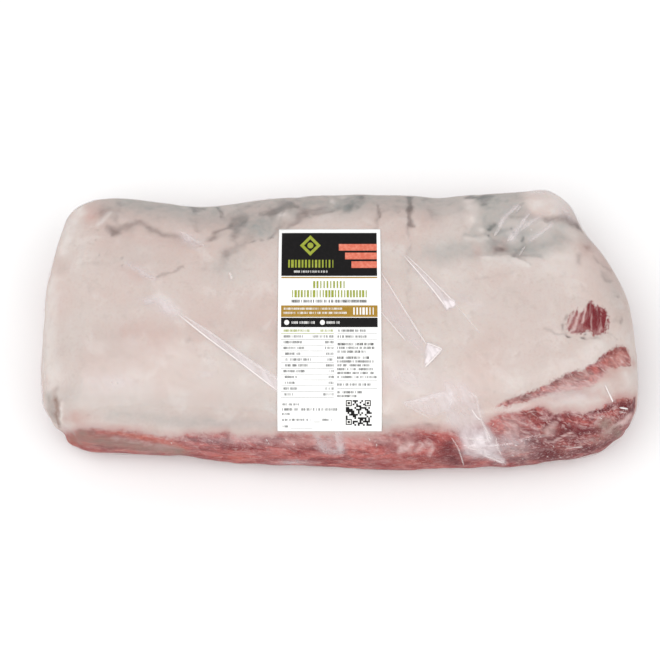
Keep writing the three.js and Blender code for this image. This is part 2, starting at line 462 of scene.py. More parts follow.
# Pale spots in the fat, with painted highlights where the film glints over the front ridge and on the rim
# beside the left-end crease
PALE_SPOTS_AND_HIGHLIGHTS = (
    Patch((538, 203), (13, 5)),
    Patch((538, 192.5), (11, 3)),
    Patch((556, 197), (12, 6), 1.0, -36),
    Patch((550, 208), (9, 4), 0.7),
    Patch((542, 232), (12, 8), 0.4, 20),
    Patch((470, 205), (8, 5), 0.7, -30),
    Patch((473, 219), (5.5, 4.5), 0.9),
    Patch((480, 230), (4, 3.5), 0.8),
    Trace(((468, 239), (478, 238), (488, 240)), 3.0, 0.5),
    Patch((512, 238), (4.5, 4.5), 0.5),
    Trace(((504, 224), (524, 222), (545, 222)), 4.0, 0.4),
    Patch((283, 214), (7, 4.4), 0.7),
    Patch((332, 201), (4, 3.4), 0.9),
    Patch((343, 197), (4, 2), 0.6),
    Patch((515, 231), (18, 3), 0.3, 20),
    Trace(((484, 258.5), (500, 257.5), (515, 260), (528, 264)), 3.8, 1.0),
    Patch((560, 270), (30, 9), 0.5, -12),
    Patch((560, 256), (24, 6), 0.5, -12),
    Trace(((545, 226), (560, 228), (575, 236)), 3.0, 0.3),
    Facet(((150, 296), (160, 290), (170, 300), (181, 311), (178, 315), (165, 309)), 0.8, 4),
    Patch((190, 350), (26, 12), 0.3),
    Patch((182, 342), (6, 4), 0.5),
    Patch((204, 345), (8, 4), 0.4),
    Patch((246, 344), (16, 8), 0.42, 30),
    # painted highlight where the film glints over the front ridge
    Patch((112, 386), (34, 12), 0.3),
    # painted highlight on the rim beside the crease at the left end
    Trace(((57.5, 396), (58.5, 410), (61, 424)), 1.8, 1.0),
    Patch((519, 407), (16, 3.2), 0.9, 12),
    Patch((570, 402), (26, 4), 0.4, 4),
    Patch((600, 386), (14, 6), 0.4, 24),
    Patch((628, 378), (7, 14), 0.7),
    Patch((600, 345), (14, 6), 0.6, 24),
    Patch((500, 380), (50, 12), 0.06, 10),
    Trace(((95, 225), (102, 220), (110, 214)), 2.2, 0.9),
    Trace(((63, 250), (72, 222), (80, 206)), 5, 0.9),
    Trace(((52, 280), (48, 330), (50, 385)), 7, 0.7),
)

# Colour changes in the bare meat; the brownish marks also paint the shade in the crease at the left end
BLOOD = (
    Patch((627, 407), (10, 6), 0.9),
    Patch((620, 436), (9, 5), 1.0, -34),
    Patch((623, 422), (8, 7), 0.4),
    Patch((74, 441), (8, 5), 0.34),
    Trace(((637, 394), (637, 404), (635, 413)), 3.4, 1.0),
    Patch((584, 431.5), (15, 5.5), 0.36, -8),
    Patch((548, 457), (14, 4.6), 0.7, -6),
    Patch((560, 440), (62, 26), 0.3),
    Patch((546, 448), (20, 10), 0.7, 10),
    Patch((604.5, 321), (2.4, 9), 0.8),
    Patch((598, 314.5), (3.4, 8), 0.9),
    Patch((591, 305), (3, 5), 0.9),
    Patch((590.5, 321), (2.2, 3), 0.7),
    Patch((550, 457), (14, 4.6), 1.0, 8),
    Patch((527, 446), (4, 5), 0.95),
    Patch((532, 441), (6, 2), 0.8),
    Patch((587, 432), (14, 4.6), 0.85, 12),
    Patch((578, 434), (6, 2.6), 0.7),
    Trace(((548, 441), (560, 435), (571, 430)), 2.4, 1.0),
    Patch((590, 450), (12, 2.8), 0.9, 10),
    Patch((607, 442), (4, 2.4), 0.8, 20),
    Trace(((543, 428), (548, 426), (551, 424)), 1.8, 0.9),
    Trace(((553, 421.5), (558, 423.5), (563, 426)), 1.8, 0.9),
    Patch((562, 415.5), (5, 1.6), 0.7),
    Patch((582, 414), (1.8, 1.6), 0.8),
    Patch((534, 414), (8, 4), 0.5, 10),
    Trace(((591, 412), (600, 410.5), (612, 408)), 2.2, 1.0),
    Patch((608, 407), (5, 2), 1.0, 20),
    Patch((632.5, 411), (5, 5)),
    Patch((620, 404), (8, 3), 0.5),
    Trace(((502, 422), (511, 431), (519, 441)), 0.9, 0.6),
    Trace(((508, 420), (516, 429), (525, 436)), 0.9, 0.5),
    Patch((453, 461), (11, 6), 0.95, -20),
    Patch((448, 448), (8, 9), 0.4),
    Patch((227, 445), (5, 9), 0.6),
    Patch((226, 436), (3, 3), 0.6),
    Trace(((424, 424), (431, 427), (438, 428)), 2.2, 0.7),
    Trace(((523, 397), (530, 394), (536, 391)), 1.8, 0.7),
    Trace(((553, 382), (566, 377), (576, 373), (588, 368)), 2.2, 0.75),
    Trace(((597, 361), (606, 355), (616, 349), (625, 349)), 1.8, 0.7),
    Trace(((578, 378), (584, 374), (592, 371)), 2.2, 0.4),
    Trace(((611, 388.4), (617, 384), (624, 379.6)), 1.4, 0.9),
    Trace(((512, 463), (530, 461), (550, 458.5), (580, 454), (602, 447), (614, 440)), 3.4, 0.8),
    Patch((200, 452), (14, 5), 0.2),
    Patch((447, 452), (9, 10), 0.7),
    Patch((431, 462), (24, 3.6), 0.5, -4),
    Patch((478, 460), (11, 2.6), 0.7, 10),
)
BROWN_AND_CREASE_SHADE = (
    # painted shade in the crease at the left end, in this and the next mark
    Trace(((55, 391), (55.5, 402), (55.5, 411), (57, 418), (60, 427)), 2.0, 1.0),
    Trace(((50, 402), (51, 412), (55, 420)), 3.6, 0.45),
    Patch((98, 442), (22, 7), 0.95, -10),
    Patch((132, 447), (26, 5), 0.85, -8),
    Patch((163, 452), (18, 4), 0.8, -6),
    Patch((180, 452), (9, 4), 0.9, -10),
    Patch((84, 434), (8, 4), 0.8),
    Patch((73, 441), (8, 6), 0.4),
    Patch((135, 436), (18, 4), 0.24, 8),
    Patch((606, 424), (8, 6), 0.9, 10),
    Patch((619, 435), (11, 4.6), 0.8, -34),
    Trace(((600, 435), (611, 431), (622, 425)), 1.6, 0.5),
    Patch((598, 440), (14, 3), 0.6, 14),
    Trace(((548, 386), (560, 381), (574, 377), (590, 372)), 2.4, 0.2),
    Trace(((505, 403), (520, 398), (534, 393)), 1.8, 0.3),
    Patch((545, 432), (16, 4), 0.24, 20),
    Patch((510, 450), (14, 8), 0.3),
)
ORANGE = (
    Patch((617, 357), (15, 10), 0.7, 20),
    Patch((72, 441), (7, 6)),
    Patch((86, 447), (7, 2.4), 0.6, -14),
    Trace(((110, 432.5), (123, 433.5), (137, 438), (153, 441), (170, 445.5), (186, 449)), 3.4, 0.75),
    Patch((622, 399), (5, 2.4), 0.5),
    Patch((240, 459), (20, 3.4), 0.5, -3),
    Patch((420, 464), (30, 4), 0.4),
    Patch((560, 453), (5, 3.4), 0.7),
    Patch((532, 418), (5, 4), 0.5),
)
TENDON = (
    Trace(((609, 431), (617, 426), (625, 421)), 2.0, 0.9),
    Trace(((604, 428), (607, 421), (613, 419)), 1.4, 0.8),
    Patch((512, 428), (12, 12), 0.5),
    Patch((550, 430.5), (5.5, 4), 0.7, 20),
    Patch((576, 412), (8, 3), 0.7),
    Patch((604, 373), (12, 4), 0.2, 24),
    Patch((571, 386), (12, 3), 0.4, 14),
    Patch((568, 381.5), (4, 1.4), 0.7),
    Trace(((586, 306.7), (584.6, 313), (582.8, 320)), 1.4, 1.0),
    Trace(((580, 311.7), (575, 324.3), (569.5, 333.4)), 1.4, 1.0),
    Trace(((574.4, 312.4), (568.8, 324.3), (567, 330)), 1.5, 1.0),
    Trace(((594.4, 314.5), (593, 321), (591.9, 328)), 0.9, 0.8),
    Trace(((601.7, 308.1), (602.1, 318.7), (600.3, 331.3)), 0.9, 0.7),
    Trace(((596.8, 304), (597.5, 309)), 0.9, 0.8),
    Patch((575.5, 321), (7, 13), 0.45, -20),
    Patch((586, 329), (9, 4.4), 0.4),
    Patch((600, 331.4), (8, 3.2), 0.36),
    Patch((574, 333.4), (5, 2), 0.8),
    Patch((320, 442), (50, 5), 0.4),
    Patch((406, 446), (9, 6), 0.5, 40),
    Trace(((417, 452), (422, 447), (428, 442), (433, 449), (429, 455)), 2.2, 0.75),
    Trace(((399, 443), (404, 448), (411, 452)), 1.8, 0.7),
    Patch((375, 440), (28, 5), 0.45),
    Patch((240, 440), (14, 3), 0.3),
    Patch((575, 381), (24, 6), 0.34, 20),
    Patch((575, 383), (22, 5), 0.2, 18),
    Patch((619, 358), (10, 6), 0.5, 20),
    Trace(((530, 401), (555, 393), (568, 390), (582, 388), (592, 384.5), (602, 377), (610, 369)), 4.0, 0.55),
    Patch((470, 426), (12, 8), 0.5),
    Patch((605, 431), (8, 3), 0.4, 50),
    Trace(((544, 443), (554, 440.6), (565, 437), (573, 433.5)), 0.9, 0.8),
    Trace(((612, 429), (618, 425), (625, 421), (631, 416)), 2.2, 0.95),
    Trace(((598.5, 425), (600.5, 420), (604, 417)), 1.3, 0.9),
    Trace(((568, 448.5), (576, 447), (583, 447)), 1.2, 0.45),
    Trace(((112, 440), (125, 442), (138, 445), (151, 446.6)), 1.8, 0.7),
    Trace(((156, 448), (168, 449), (178, 451)), 1.8, 0.5),
    Patch((160, 451), (12, 3), 0.4, -6),
    Trace(((399, 452), (406, 449), (413, 446)), 2.0, 0.8),
    Patch((480, 449), (12, 9), 0.4),
    Patch((515, 453.5), (2, 1.4), 0.8),
    Patch((522, 452), (8, 6), 0.3),
)

# Milky places in the film, partly real doubled film and partly painted highlights where its folds catch the
# light
HAZE_AND_HIGHLIGHTS = (
    Facet(((144, 300), (156, 297), (168, 299), (180, 312), (175, 319), (162, 310)), 0.42, 7),
    Patch((149, 301), (7, 3), 0.3, 8),
    Patch((166, 308), (8, 5), 0.3, 40),
    Facet(((178, 312), (210, 332), (281, 379), (279, 393), (208, 338)), 0.5, 1.6),
    Facet(((381, 272), (425, 344), (426, 358), (406, 341), (381, 312)), 0.24, 3),
    Facet(((403, 254), (446, 309), (455, 302)), 0.44, 1.6),
    # painted highlights where folds catch the light, in this and the next mark
    Facet(((427, 342.5), (443, 349), (425, 367)), 1.0, 1.2),
    Facet(((443, 300), (455, 300), (456, 306), (446, 309.5)), 0.9, 1.2),
    Facet(((404, 403.5), (422, 398), (440, 391), (453, 392), (448, 409), (434, 417), (416, 411)), 0.3, 2.4),
    Trace(((406, 403), (424, 399), (442, 394)), 2.4, 0.3),
    Trace(((453, 393), (452, 401), (448, 409)), 2.6, 0.3),
    Facet(
        (
            (444, 384), (462, 384), (476, 394), (480, 408), (488, 428), (494, 441), (484, 446), (466, 444),
            (456, 430), (446, 420),
        ),
        0.36,
        7,
    ),
    Facet(
        ((460, 434), (470, 428), (488, 430), (496, 442), (503, 459), (490, 457), (474, 457), (463, 455)),
        0.36,
        6,
    ),
    Trace(((484, 454), (494, 458), (503, 462)), 3, 0.5),
    Patch((480, 439), (13, 4), 0.4),
    Patch((476, 450), (10, 5), 0.4, -10),
    Patch((509, 444), (22, 9), 0.3),
    Patch((466, 300), (26, 4), 0.16, -30),
    # painted highlight where the film glints over the front ridge
    Patch((112, 383), (30, 10), 0.24),
    Patch((190, 240), (9, 5), 0.34, -38),
    Trace(((127, 264), (138, 269), (146, 275), (154, 278)), 3.4, 0.3),
    Patch((300, 424), (100, 4), 0.16),
    Patch((570, 397), (26, 7), 0.24, 4),
    Patch((205, 375), (9, 4), 0.2),
    Patch((404, 376), (24, 14), 0.26),
    Patch((430, 383), (34, 9), 0.12),
    Patch((512, 238), (5.5, 5), 0.36),
    Patch((565, 212), (14, 7), 0.3, -40),
    Patch((540, 192), (14, 3), 0.3),
    Patch((328, 444), (11, 8), 0.2),
    Trace(((339, 430), (340, 440), (341, 451)), 4.4, 0.34),
    Trace(((317, 437), (319, 445), (326, 451), (336, 452)), 3.6, 0.22),
    Patch((293, 462.5), (17, 2.4), 0.34),
    Patch((240, 440), (60, 5), 0.16),
    Patch((190, 239), (14, 4), 0.3, -34),
    Trace(((500, 225), (508, 213), (517, 206)), 3.2, 0.26),
    Trace(((514, 234), (523, 222), (529, 213)), 3.2, 0.24),
    Trace(((522, 229), (533, 221), (541, 217)), 3.2, 0.2),
    Trace(((530, 241), (540, 234), (552, 224)), 3.2, 0.2),
)

# Where the bag is fuller or slimmer than the solid: the oval, and how far the surface moves out, in mm
FULLNESS = (
    (Patch((62, 226), (16, 20)), 2.0),
    (Patch((100, 200), (34, 12)), 1.0),
    (Patch((256, 201), (34, 14)), 2.0),
    (Patch((350, 194), (44, 12)), 1.1),
    (Patch((412, 195), (20, 12)), 1.3),
    (Patch((568, 205), (16, 18)), 2.3),
    (Patch((627, 300), (16, 34)), 1.6),
    (Patch((636, 350), (10, 24)), 0.9),
    (Patch((634, 414), (12, 17)), 2.2),
    (Patch((45, 290), (10, 52)), 1.0),
    (Patch((44, 406), (7, 9)), 1.2),
    (Patch((60, 437), (9, 8)), -2.6),
    (Patch((172, 460), (34, 9)), -1.8),
    (Patch((340, 472), (30, 8)), -0.8),
)

# Where the photograph shows the finest detail: left, top, right and bottom, in pixels
FINE_PLACES = ((550, 295, 625, 342), (500, 382, 642, 466), (484, 218, 530, 257))

# Where the film bridges a hollow: the oval, and how far the film stands off the meat, in millimetres
BRIDGES = (
    (Patch((512, 233), (44, 18)), 2.4),
    (Patch((585, 222), (26, 8), 1.0, -20), 1.0),
)


# Bag folds


class Side(Enum):
    """From which side a fold's line is laid onto the bag."""

    PHOTO = "photo"
    LEFT = "left"
    RIGHT = "right"
    BACK = "back"


@dataclass(frozen=True)
class Pleat:
    """A fold in the film, flattened into a narrow ribbon, whose milky colour also paints the highlight that
    the fold catches.

    The line is in pixels for the photograph's side. For the others it is in millimetres: along Y and Z on an
    end, and along X and Z on the back.
    """

    line: tuple[Pixel, ...]
    width_mm: tuple[float, float]
    milk: float
    side: Side = Side.PHOTO


PLEATS = (
    Pleat(((178, 314), (189, 323), (208, 338), (233, 356.5), (257, 375), (278, 391)), (1.2, 1.2), 1.0),
    Pleat(((180, 313), (192, 321), (211, 333), (236, 351), (260, 367.5), (279, 381)), (1.2, 1.8), 0.5),
    Pleat(((404, 256), (419, 273), (434, 291), (446, 307)), (0.7, 1.4), 1.0),
    Pleat(((406, 255), (423, 271), (439, 287), (454, 302)), (0.6, 1.1), 0.8),
    Pleat(((381, 272), (399, 301), (414, 325), (426, 344)), (0.8, 1.6), 0.6),
    Pleat(((381, 312), (394, 327), (406, 341)), (0.6, 1.2), 0.62),
    Pleat(((427, 343), (434, 345.5), (442, 349)), (0.8, 1.2), 0.9),
    Pleat(((442, 349), (434, 358), (425, 367)), (0.8, 1.4), 1.0),
    Pleat(((455, 303), (466, 317), (480, 333)), (0.5, 0.8), 0.3),
    Pleat(((404, 403), (414, 401), (426, 399.5), (436, 395.5), (446, 392)), (0.7, 1.6), 0.34),
    Pleat(((404, 403.6), (414, 409.4), (422, 414), (430, 417.5)), (0.6, 1.0), 0.3),
    Pleat(((452.4, 394), (451.6, 400), (448, 408)), (0.8, 1.6), 0.4),
    Pleat(((471.5, 409), (477, 417), (481, 420)), (0.7, 1.4), 0.8),
    Pleat(((466, 390), (476, 397), (478.5, 408), (481, 418.6), (485.5, 429), (491, 440)), (0.8, 1.8), 0.4),
    Pleat(((484, 455), (494.5, 459), (504, 463)), (1.4, 2.4), 0.5),
    Pleat(((451, 437), (458.5, 449), (464, 466)), (0.6, 1.2), 0.3),
    Pleat(((462, 437), (475, 439.5), (490, 440.5)), (1.2, 2.4), 0.4),
    Pleat(((466, 446), (474, 449), (483, 449)), (1.2, 2.2), 0.4),
    Pleat(((496, 437), (497, 446), (501, 454)), (0.6, 1.2), 0.4),
    Pleat(((604.7, 384.5), (609, 393.5), (613, 402)), (0.7, 1.5), 1.0),
    Pleat(((619.4, 407.6), (624, 408.2), (628, 409)), (1.2, 1.0), 1.0),
    Pleat(((619, 411.4), (623, 412.4), (627, 413)), (0.7, 0.7), 0.3),
    Pleat(((180, 231), (194, 240), (204, 246)), (1.2, 2.6), 0.28),
    Pleat(((130, 266), (140, 271), (152, 278)), (1.6, 3.0), 0.12),
    Pleat(((494, 236.4), (498, 229.5), (503.6, 219), (511, 211.5), (519, 205)), (2.6, 1.8), 0.28),
    Pleat(((507.4, 241), (515, 234.5), (522.7, 222), (529.4, 213.5)), (2.6, 1.8), 0.26),
    Pleat(((511, 235.5), (521.7, 229), (533, 221), (540, 217.5)), (2.4, 1.8), 0.2),
    Pleat(((530.4, 241), (539, 234.5), (552.4, 224)), (2.0, 2.0), 0.22),
    Pleat(((516, 212.5), (518.5, 209), (521, 206)), (1.2, 1.4), 0.26),
    Pleat(((519, 255.6), (522, 251), (525, 246.5)), (1.2, 1.6), 0.26),
    Pleat(((229, 272), (231, 276), (232, 280)), (1.2, 1.6), 0.4),
    Pleat(((568, 448.5), (575, 447.3), (583, 447)), (0.7, 1.0), 0.6),
    Pleat(((336.5, 431), (338, 441), (341, 451)), (3.0, 2.0), 0.1),
    Pleat(((317.3, 438.4), (319, 445), (323, 450), (331, 452), (340, 451.5)), (2.0, 2.0), 0.06),
    Pleat(((46, 250), (44, 300), (43, 350), (47, 392)), (0.5, 1.2), 0.2),
    Pleat(((-58, 20), (-42, 25), (-26, 26)), (1.4, 3.4), 0.16, Side.RIGHT),
    Pleat(((60, 36), (44, 33), (30, 28)), (1.4, 3.0), 0.14, Side.RIGHT),
    Pleat(((-40, 6), (-28, 12), (-12, 16)), (1.2, 2.4), 0.14, Side.RIGHT),
    Pleat(((48, 6), (36, 12), (22, 15)), (1.2, 2.2), 0.12, Side.RIGHT),
    Pleat(((-60, 34), (-46, 30), (-30, 29)), (1.4, 3.2), 0.16, Side.LEFT),
    Pleat(((56, 12), (42, 17), (26, 18)), (1.4, 3.0), 0.14, Side.LEFT),
    Pleat(((-44, 7), (-32, 13), (-16, 14)), (1.2, 2.2), 0.12, Side.LEFT),
    Pleat(((42, 44), (34, 37), (18, 33)), (1.2, 2.2), 0.12, Side.LEFT),
    Pleat(((-118, 18), (-92, 24), (-70, 25)), (1.4, 3.0), 0.14, Side.BACK),
    Pleat(((-10, 22), (10, 27), (36, 28)), (1.4, 3.0), 0.12, Side.BACK),
    Pleat(((96, 15), (74, 20), (52, 28)), (1.4, 2.8), 0.14, Side.BACK),
    Pleat(((-72, 10), (-52, 14), (-30, 12)), (1.2, 2.2), 0.12, Side.BACK),
)


# Node trees


class NodeSheet:
    """Adds nodes to a tree of shader or geometry nodes."""

    def __init__(self, tree: NodeTree) -> None:
        """Keeps the tree that the nodes go into."""
        self.tree = tree

    def node(self, kind: str, inputs: dict[str | int, Any] | None = None, **settings: Any) -> Node:
        """Adds a node.

        Args:
            kind: The node's type.
            inputs: A value, a node, a socket or a Number for each input, by its name or its place.
            settings: The node's own properties, which are set first.

        Returns:
            The new node.
        """
        made = self.tree.nodes.new(kind)
        for name, value in settings.items():
            setattr(made, name, value)
        for key, value in (inputs or {}).items():
            self.feed(made.inputs[key], value)
        return made

    def feed(self, entry: NodeSocket, value: Any) -> None:
        """Links a node's first output, a socket or a Number into an input, or sets a plain value on it."""
        if isinstance(value, Number):
            value = value.source
        if isinstance(value, Node):
            value = value.outputs[0]
        if isinstance(value, NodeSocket):
            self.tree.links.new(value, entry)
        elif entry.type == "RGBA":
            entry.default_value = (*value, 1)
        else:
            entry.default_value = value


class Number:
    """A number in a node tree, on which Python's arithmetic adds Math nodes."""

    def __init__(self, sheet: NodeSheet, source: Source) -> None:
        """Wraps a node of the sheet's tree, or one of its sockets."""
        self.sheet = sheet
        self.source = source

    def _math(self, operation: str, first: "Number | float", second: "Number | float") -> "Number":
        """Adds one Math node on two values."""
        made = self.sheet.node("ShaderNodeMath", {0: first, 1: second}, operation=operation)
        return Number(self.sheet, made)

    def __add__(self, other: "Number | float") -> "Number":
        """Adds."""
        return self._math("ADD", self, other)

    def __sub__(self, other: "Number | float") -> "Number":
        """Subtracts."""
        return self._math("SUBTRACT", self, other)

    def __rsub__(self, other: float) -> "Number":
        """Subtracts from a plain number."""
        return self._math("SUBTRACT", other, self)

    def __mul__(self, other: "Number | float") -> "Number":
        """Multiplies."""
        return self._math("MULTIPLY", self, other)

    __radd__ = __add__
    __rmul__ = __mul__

    def magnitude(self) -> "Number":
        """The number without its sign."""
        return self._math("MAXIMUM", self, self * -1)

    def clamp(self) -> "Number":
        """The number held between 0 and 1."""
        return Number(self.sheet, self.sheet.node("ShaderNodeClamp", {"Value": self}))

    def step(self, low: float, high: float) -> "Number":
        """Runs from 0 at low to 1 at high with soft ends."""
        inputs = {"Value": self, "From Min": low, "From Max": high}
        made = self.sheet.node("ShaderNodeMapRange", inputs, interpolation_type="SMOOTHSTEP")
        return Number(self.sheet, made)


class Shade(NodeSheet):
    """A material under construction. Its patterns lie in Object coordinates, in metres."""

    MIX_FIRST, MIX_SECOND, MIX_RESULT = 6, 7, 2

    def __init__(self, name: str) -> None:
        """Starts an empty material."""
        self.material = bpy.data.materials.new(name)
        self.material.use_nodes = True
        super().__init__(self.material.node_tree)
        self.tree.nodes.clear()
        self.spot = self.node("ShaderNodeTexCoord").outputs["Object"]

    def attribute(self, name: str) -> Number:
        """A number that the mesh holds for each of its points."""
        return Number(self, self.node("ShaderNodeAttribute", attribute_name=name).outputs["Fac"])

    def noise(
        self,
        grain_mm: float,
        detail: float = 3.0,
        stretch: tuple[float, float, float] = (1, 1, 1),
        turn: tuple[float, float, float] = (0, 0, 0),
        warp: float = 0.0,
    ) -> Number:
        """Smooth noise about 0.5.

        Args:
            grain_mm: The size of its largest features.
            detail: How many finer layers it has.
            stretch: How much longer the features are along each axis.
            turn: How the stretched axes are turned, in radians.
            warp: How strongly the noise bends itself.

        Returns:
            The noise, from 0 to 1.
        """
        shares = tuple(1 / s for s in stretch)
        placed = self.node("ShaderNodeMapping", {"Vector": self.spot, "Rotation": turn})
        scaled = self.node("ShaderNodeVectorMath", {0: placed, 1: shares}, operation="MULTIPLY")
        inputs = {"Vector": scaled, "Scale": 1 / (grain_mm * MM), "Detail": detail, "Distortion": warp}
        return Number(self, self.node("ShaderNodeTexNoise", inputs))

    def veins(self, cell_mm: float, width: float, stretch: tuple[float, float, float] = (1, 1, 1)) -> Number:
        """A net of thin lines, 1 on a line and 0 away from it, where noise crosses its middle value."""
        band = (self.noise(cell_mm, 3.0, stretch, (0, 0, 0.4), 0.6) - 0.5).magnitude()
        return 1 - band.step(0.0, width)

    def mix(self, share: Number | float, first: Any, second: Any) -> NodeSocket:
        """The first colour, turning into the second as share goes from 0 to 1."""
        inputs = {0: share, self.MIX_FIRST: first, self.MIX_SECOND: second}
        return self.node("ShaderNodeMix", inputs, data_type="RGBA").outputs[self.MIX_RESULT]

    def layered(self, base: Any, *layers: tuple[Number, Any]) -> NodeSocket:
        """A colour with more layers on it, each given by how strongly it covers and its colour."""
        for share, colour in layers:
            base = self.mix(share, base, colour)
        return base

    def bump(self, height: Number, distance_mm: float, strength: float) -> Node:
        """A normal tilted by a height pattern that is distance_mm deep."""
        inputs = {"Height": height, "Distance": distance_mm * MM, "Strength": strength}
        return self.node("ShaderNodeBump", inputs)

    def solid(self, colour: Any, roughness: Any, specular: float, more: dict[str, Any]) -> Node:
        """An ordinary surface, with more of its inputs by their names."""
        inputs = {"Base Color": colour, "Roughness": roughness, "Specular IOR Level": specular}
        return self.node("ShaderNodeBsdfPrincipled", inputs | more)

    def blend(self, share: Any, first: Node, second: Node) -> Node:
        """The first shader, turning into the second as share goes from 0 to 1."""
        return self.node("ShaderNodeMixShader", {0: share, 1: first, 2: second})

    def veil(self, cover: Number, surface: Node) -> Node:
        """A surface that is clear where its cover is 0."""
        return self.blend(cover.clamp(), self.node("ShaderNodeBsdfTransparent"), surface)

    def finish(self, shader: Node) -> Material:
        """Gives the shader to the material's output and returns the material."""
        self.node("ShaderNodeOutputMaterial", {"Surface": shader})
        return self.material


class GeometryTree(NodeSheet):
    """A tree of geometry nodes with named inputs."""

    def __init__(self, name: str) -> None:
        """Starts a tree that takes and gives geometry."""
        super().__init__(bpy.data.node_groups.new(name, "GeometryNodeTree"))
        self.identifiers: dict[str, str] = {}
        self.tree.interface.new_socket("Geometry", in_out="OUTPUT", socket_type="NodeSocketGeometry")
        self.entry = self.node("NodeGroupInput")
        self.source = self.named("Geometry", "NodeSocketGeometry")

    def named(self, name: str, kind: str = "NodeSocketFloat") -> NodeSocket:
        """Adds a named input and returns its socket."""
        item = self.tree.interface.new_socket(name, in_out="INPUT", socket_type=kind)
        self.identifiers[name] = item.identifier
        return self.entry.outputs[name]

    def number(self, name: str) -> Number:
        """Adds a named input for a number."""
        return Number(self, self.named(name))

    def attribute(self, name: str, kind: str = "FLOAT") -> NodeSocket:
        """A value that the geometry holds for each of its points."""
        made = self.node("GeometryNodeInputNamedAttribute", {"Name": name}, data_type=kind)
        return next(socket for socket in made.outputs if socket.enabled)

    def random(self, low: float, high: float, seed: NodeSocket) -> Number:
        """A seeded random number for each point."""
        inputs = {2: low, 3: high, "Seed": seed}
        return Number(self, self.node("FunctionNodeRandomValue", inputs, data_type="FLOAT").outputs[1])

    def finish(self, geometry: Source, material: Source) -> None:
        """Makes the instances real, sets the material and ends the tree."""
        real = self.node("GeometryNodeRealizeInstances", {0: geometry})
        dressed = self.node("GeometryNodeSetMaterial", {0: real, "Material": material})
        self.node("NodeGroupOutput", {0: dressed})

    def grow(self, name: str, mesh: Mesh, values: dict[str, Any]) -> Object:
        """Runs the tree on a mesh.

        Args:
            name: The new object's name.
            mesh: The mesh that the tree starts from.
            values: A value for each named input.

        Returns:
            An object with a plain mesh and no modifier.
        """
        piece = bpy.data.objects.new(name, mesh)
        bpy.context.scene.collection.objects.link(piece)
        modifier = piece.modifiers.new(name, "NODES")
        modifier.node_group = self.tree
        for key, value in values.items():
            modifier[self.identifiers[key]] = value
        grown = evaluated(piece)
        piece.modifiers.remove(modifier)
        piece.data = grown
        grown.name = name
        return piece


class PrintTree(GeometryTree):
    """A tree of small printed marks, which are pressed onto the label's sheet at the end."""

    REACH_MM = 50.0

    def __init__(self, name: str) -> None:
        """Starts the tree with the inputs that all print has."""
        super().__init__(name)
        self.seed = self.named("Seed", "NodeSocketInt")
        self.sheet = self.named("Sheet", "NodeSocketObject")
        self.out = self.named("Out", "NodeSocketVector")
        self.lift = self.number("Lift")
        self.material = self.named("Material", "NodeSocketMaterial")

    def thin_out(self, marks: Source, domain: str, share: Any) -> Node:
        """Takes away a random share of the marks."""
        inputs = {"Probability": share, "Seed": self.seed}
        chosen = self.node("FunctionNodeRandomValue", inputs, data_type="BOOLEAN")
        return self.node("GeometryNodeDeleteGeometry", {0: marks, 1: chosen.outputs[3]}, domain=domain)

    def outward(self, length: Any) -> Node:
        """A vector of some length out of the sheet."""
        return self.node("ShaderNodeVectorMath", {0: self.out, "Scale": length}, operation="SCALE")

    def press(self, marks: Source) -> None:
        """Moves the marks in along the view until they lie on the sheet, and ends the tree."""
        target = self.node("GeometryNodeObjectInfo", {0: self.sheet}).outputs["Geometry"]
        inward, reach = self.outward(-1.0), self.REACH_MM * MM
        inputs = {"Target Geometry": target, "Ray Direction": inward, "Ray Length": reach}
        ray = self.node("GeometryNodeRaycast", inputs)
        inputs = {0: ray.outputs["Hit Position"], 1: self.outward(self.lift)}
        pressed = self.node("ShaderNodeVectorMath", inputs, operation="ADD")
        inputs = {0: marks, "Selection": ray.outputs["Is Hit"], "Position": pressed}
        self.finish(self.node("GeometryNodeSetPosition", inputs), self.material)


# Finishes


class MeatPatterns:
    """The noise that the meat's colours and relief share."""

    def __init__(self, shade: Shade) -> None:
        """Adds the patterns to the material."""
        self.broad = shade.noise(42, 2.0)
        self.mottle = shade.noise(13, 4.0, warp=0.6)
        self.fine = shade.noise(4.5, 4.0)
        self.grain = shade.noise(1.3, 2.0)
        self.patches = shade.noise(5.5, 5.0, (1.8, 1, 1), (0, 0, 0.3), 0.5)
        self.flecks = shade.noise(2.4, 4.0, (1.5, 1, 1), (0, 0, 0.5))
        self.fibre = shade.noise(5.0, 4.0, (4, 1, 1), (0, 0, 0.25), 0.4)
        self.strands = shade.noise(1.9, 3.0, (3, 1, 1), (0, 0, 0.35), 0.6)
        self.threads = shade.noise(1.5, 3.0, (2.2, 1, 1), (0, 0, 0.5), 0.8)
        self.streaks = shade.noise(2.6, 2.0, (1, 6, 6), (0, 0, 0.22), 0.3)


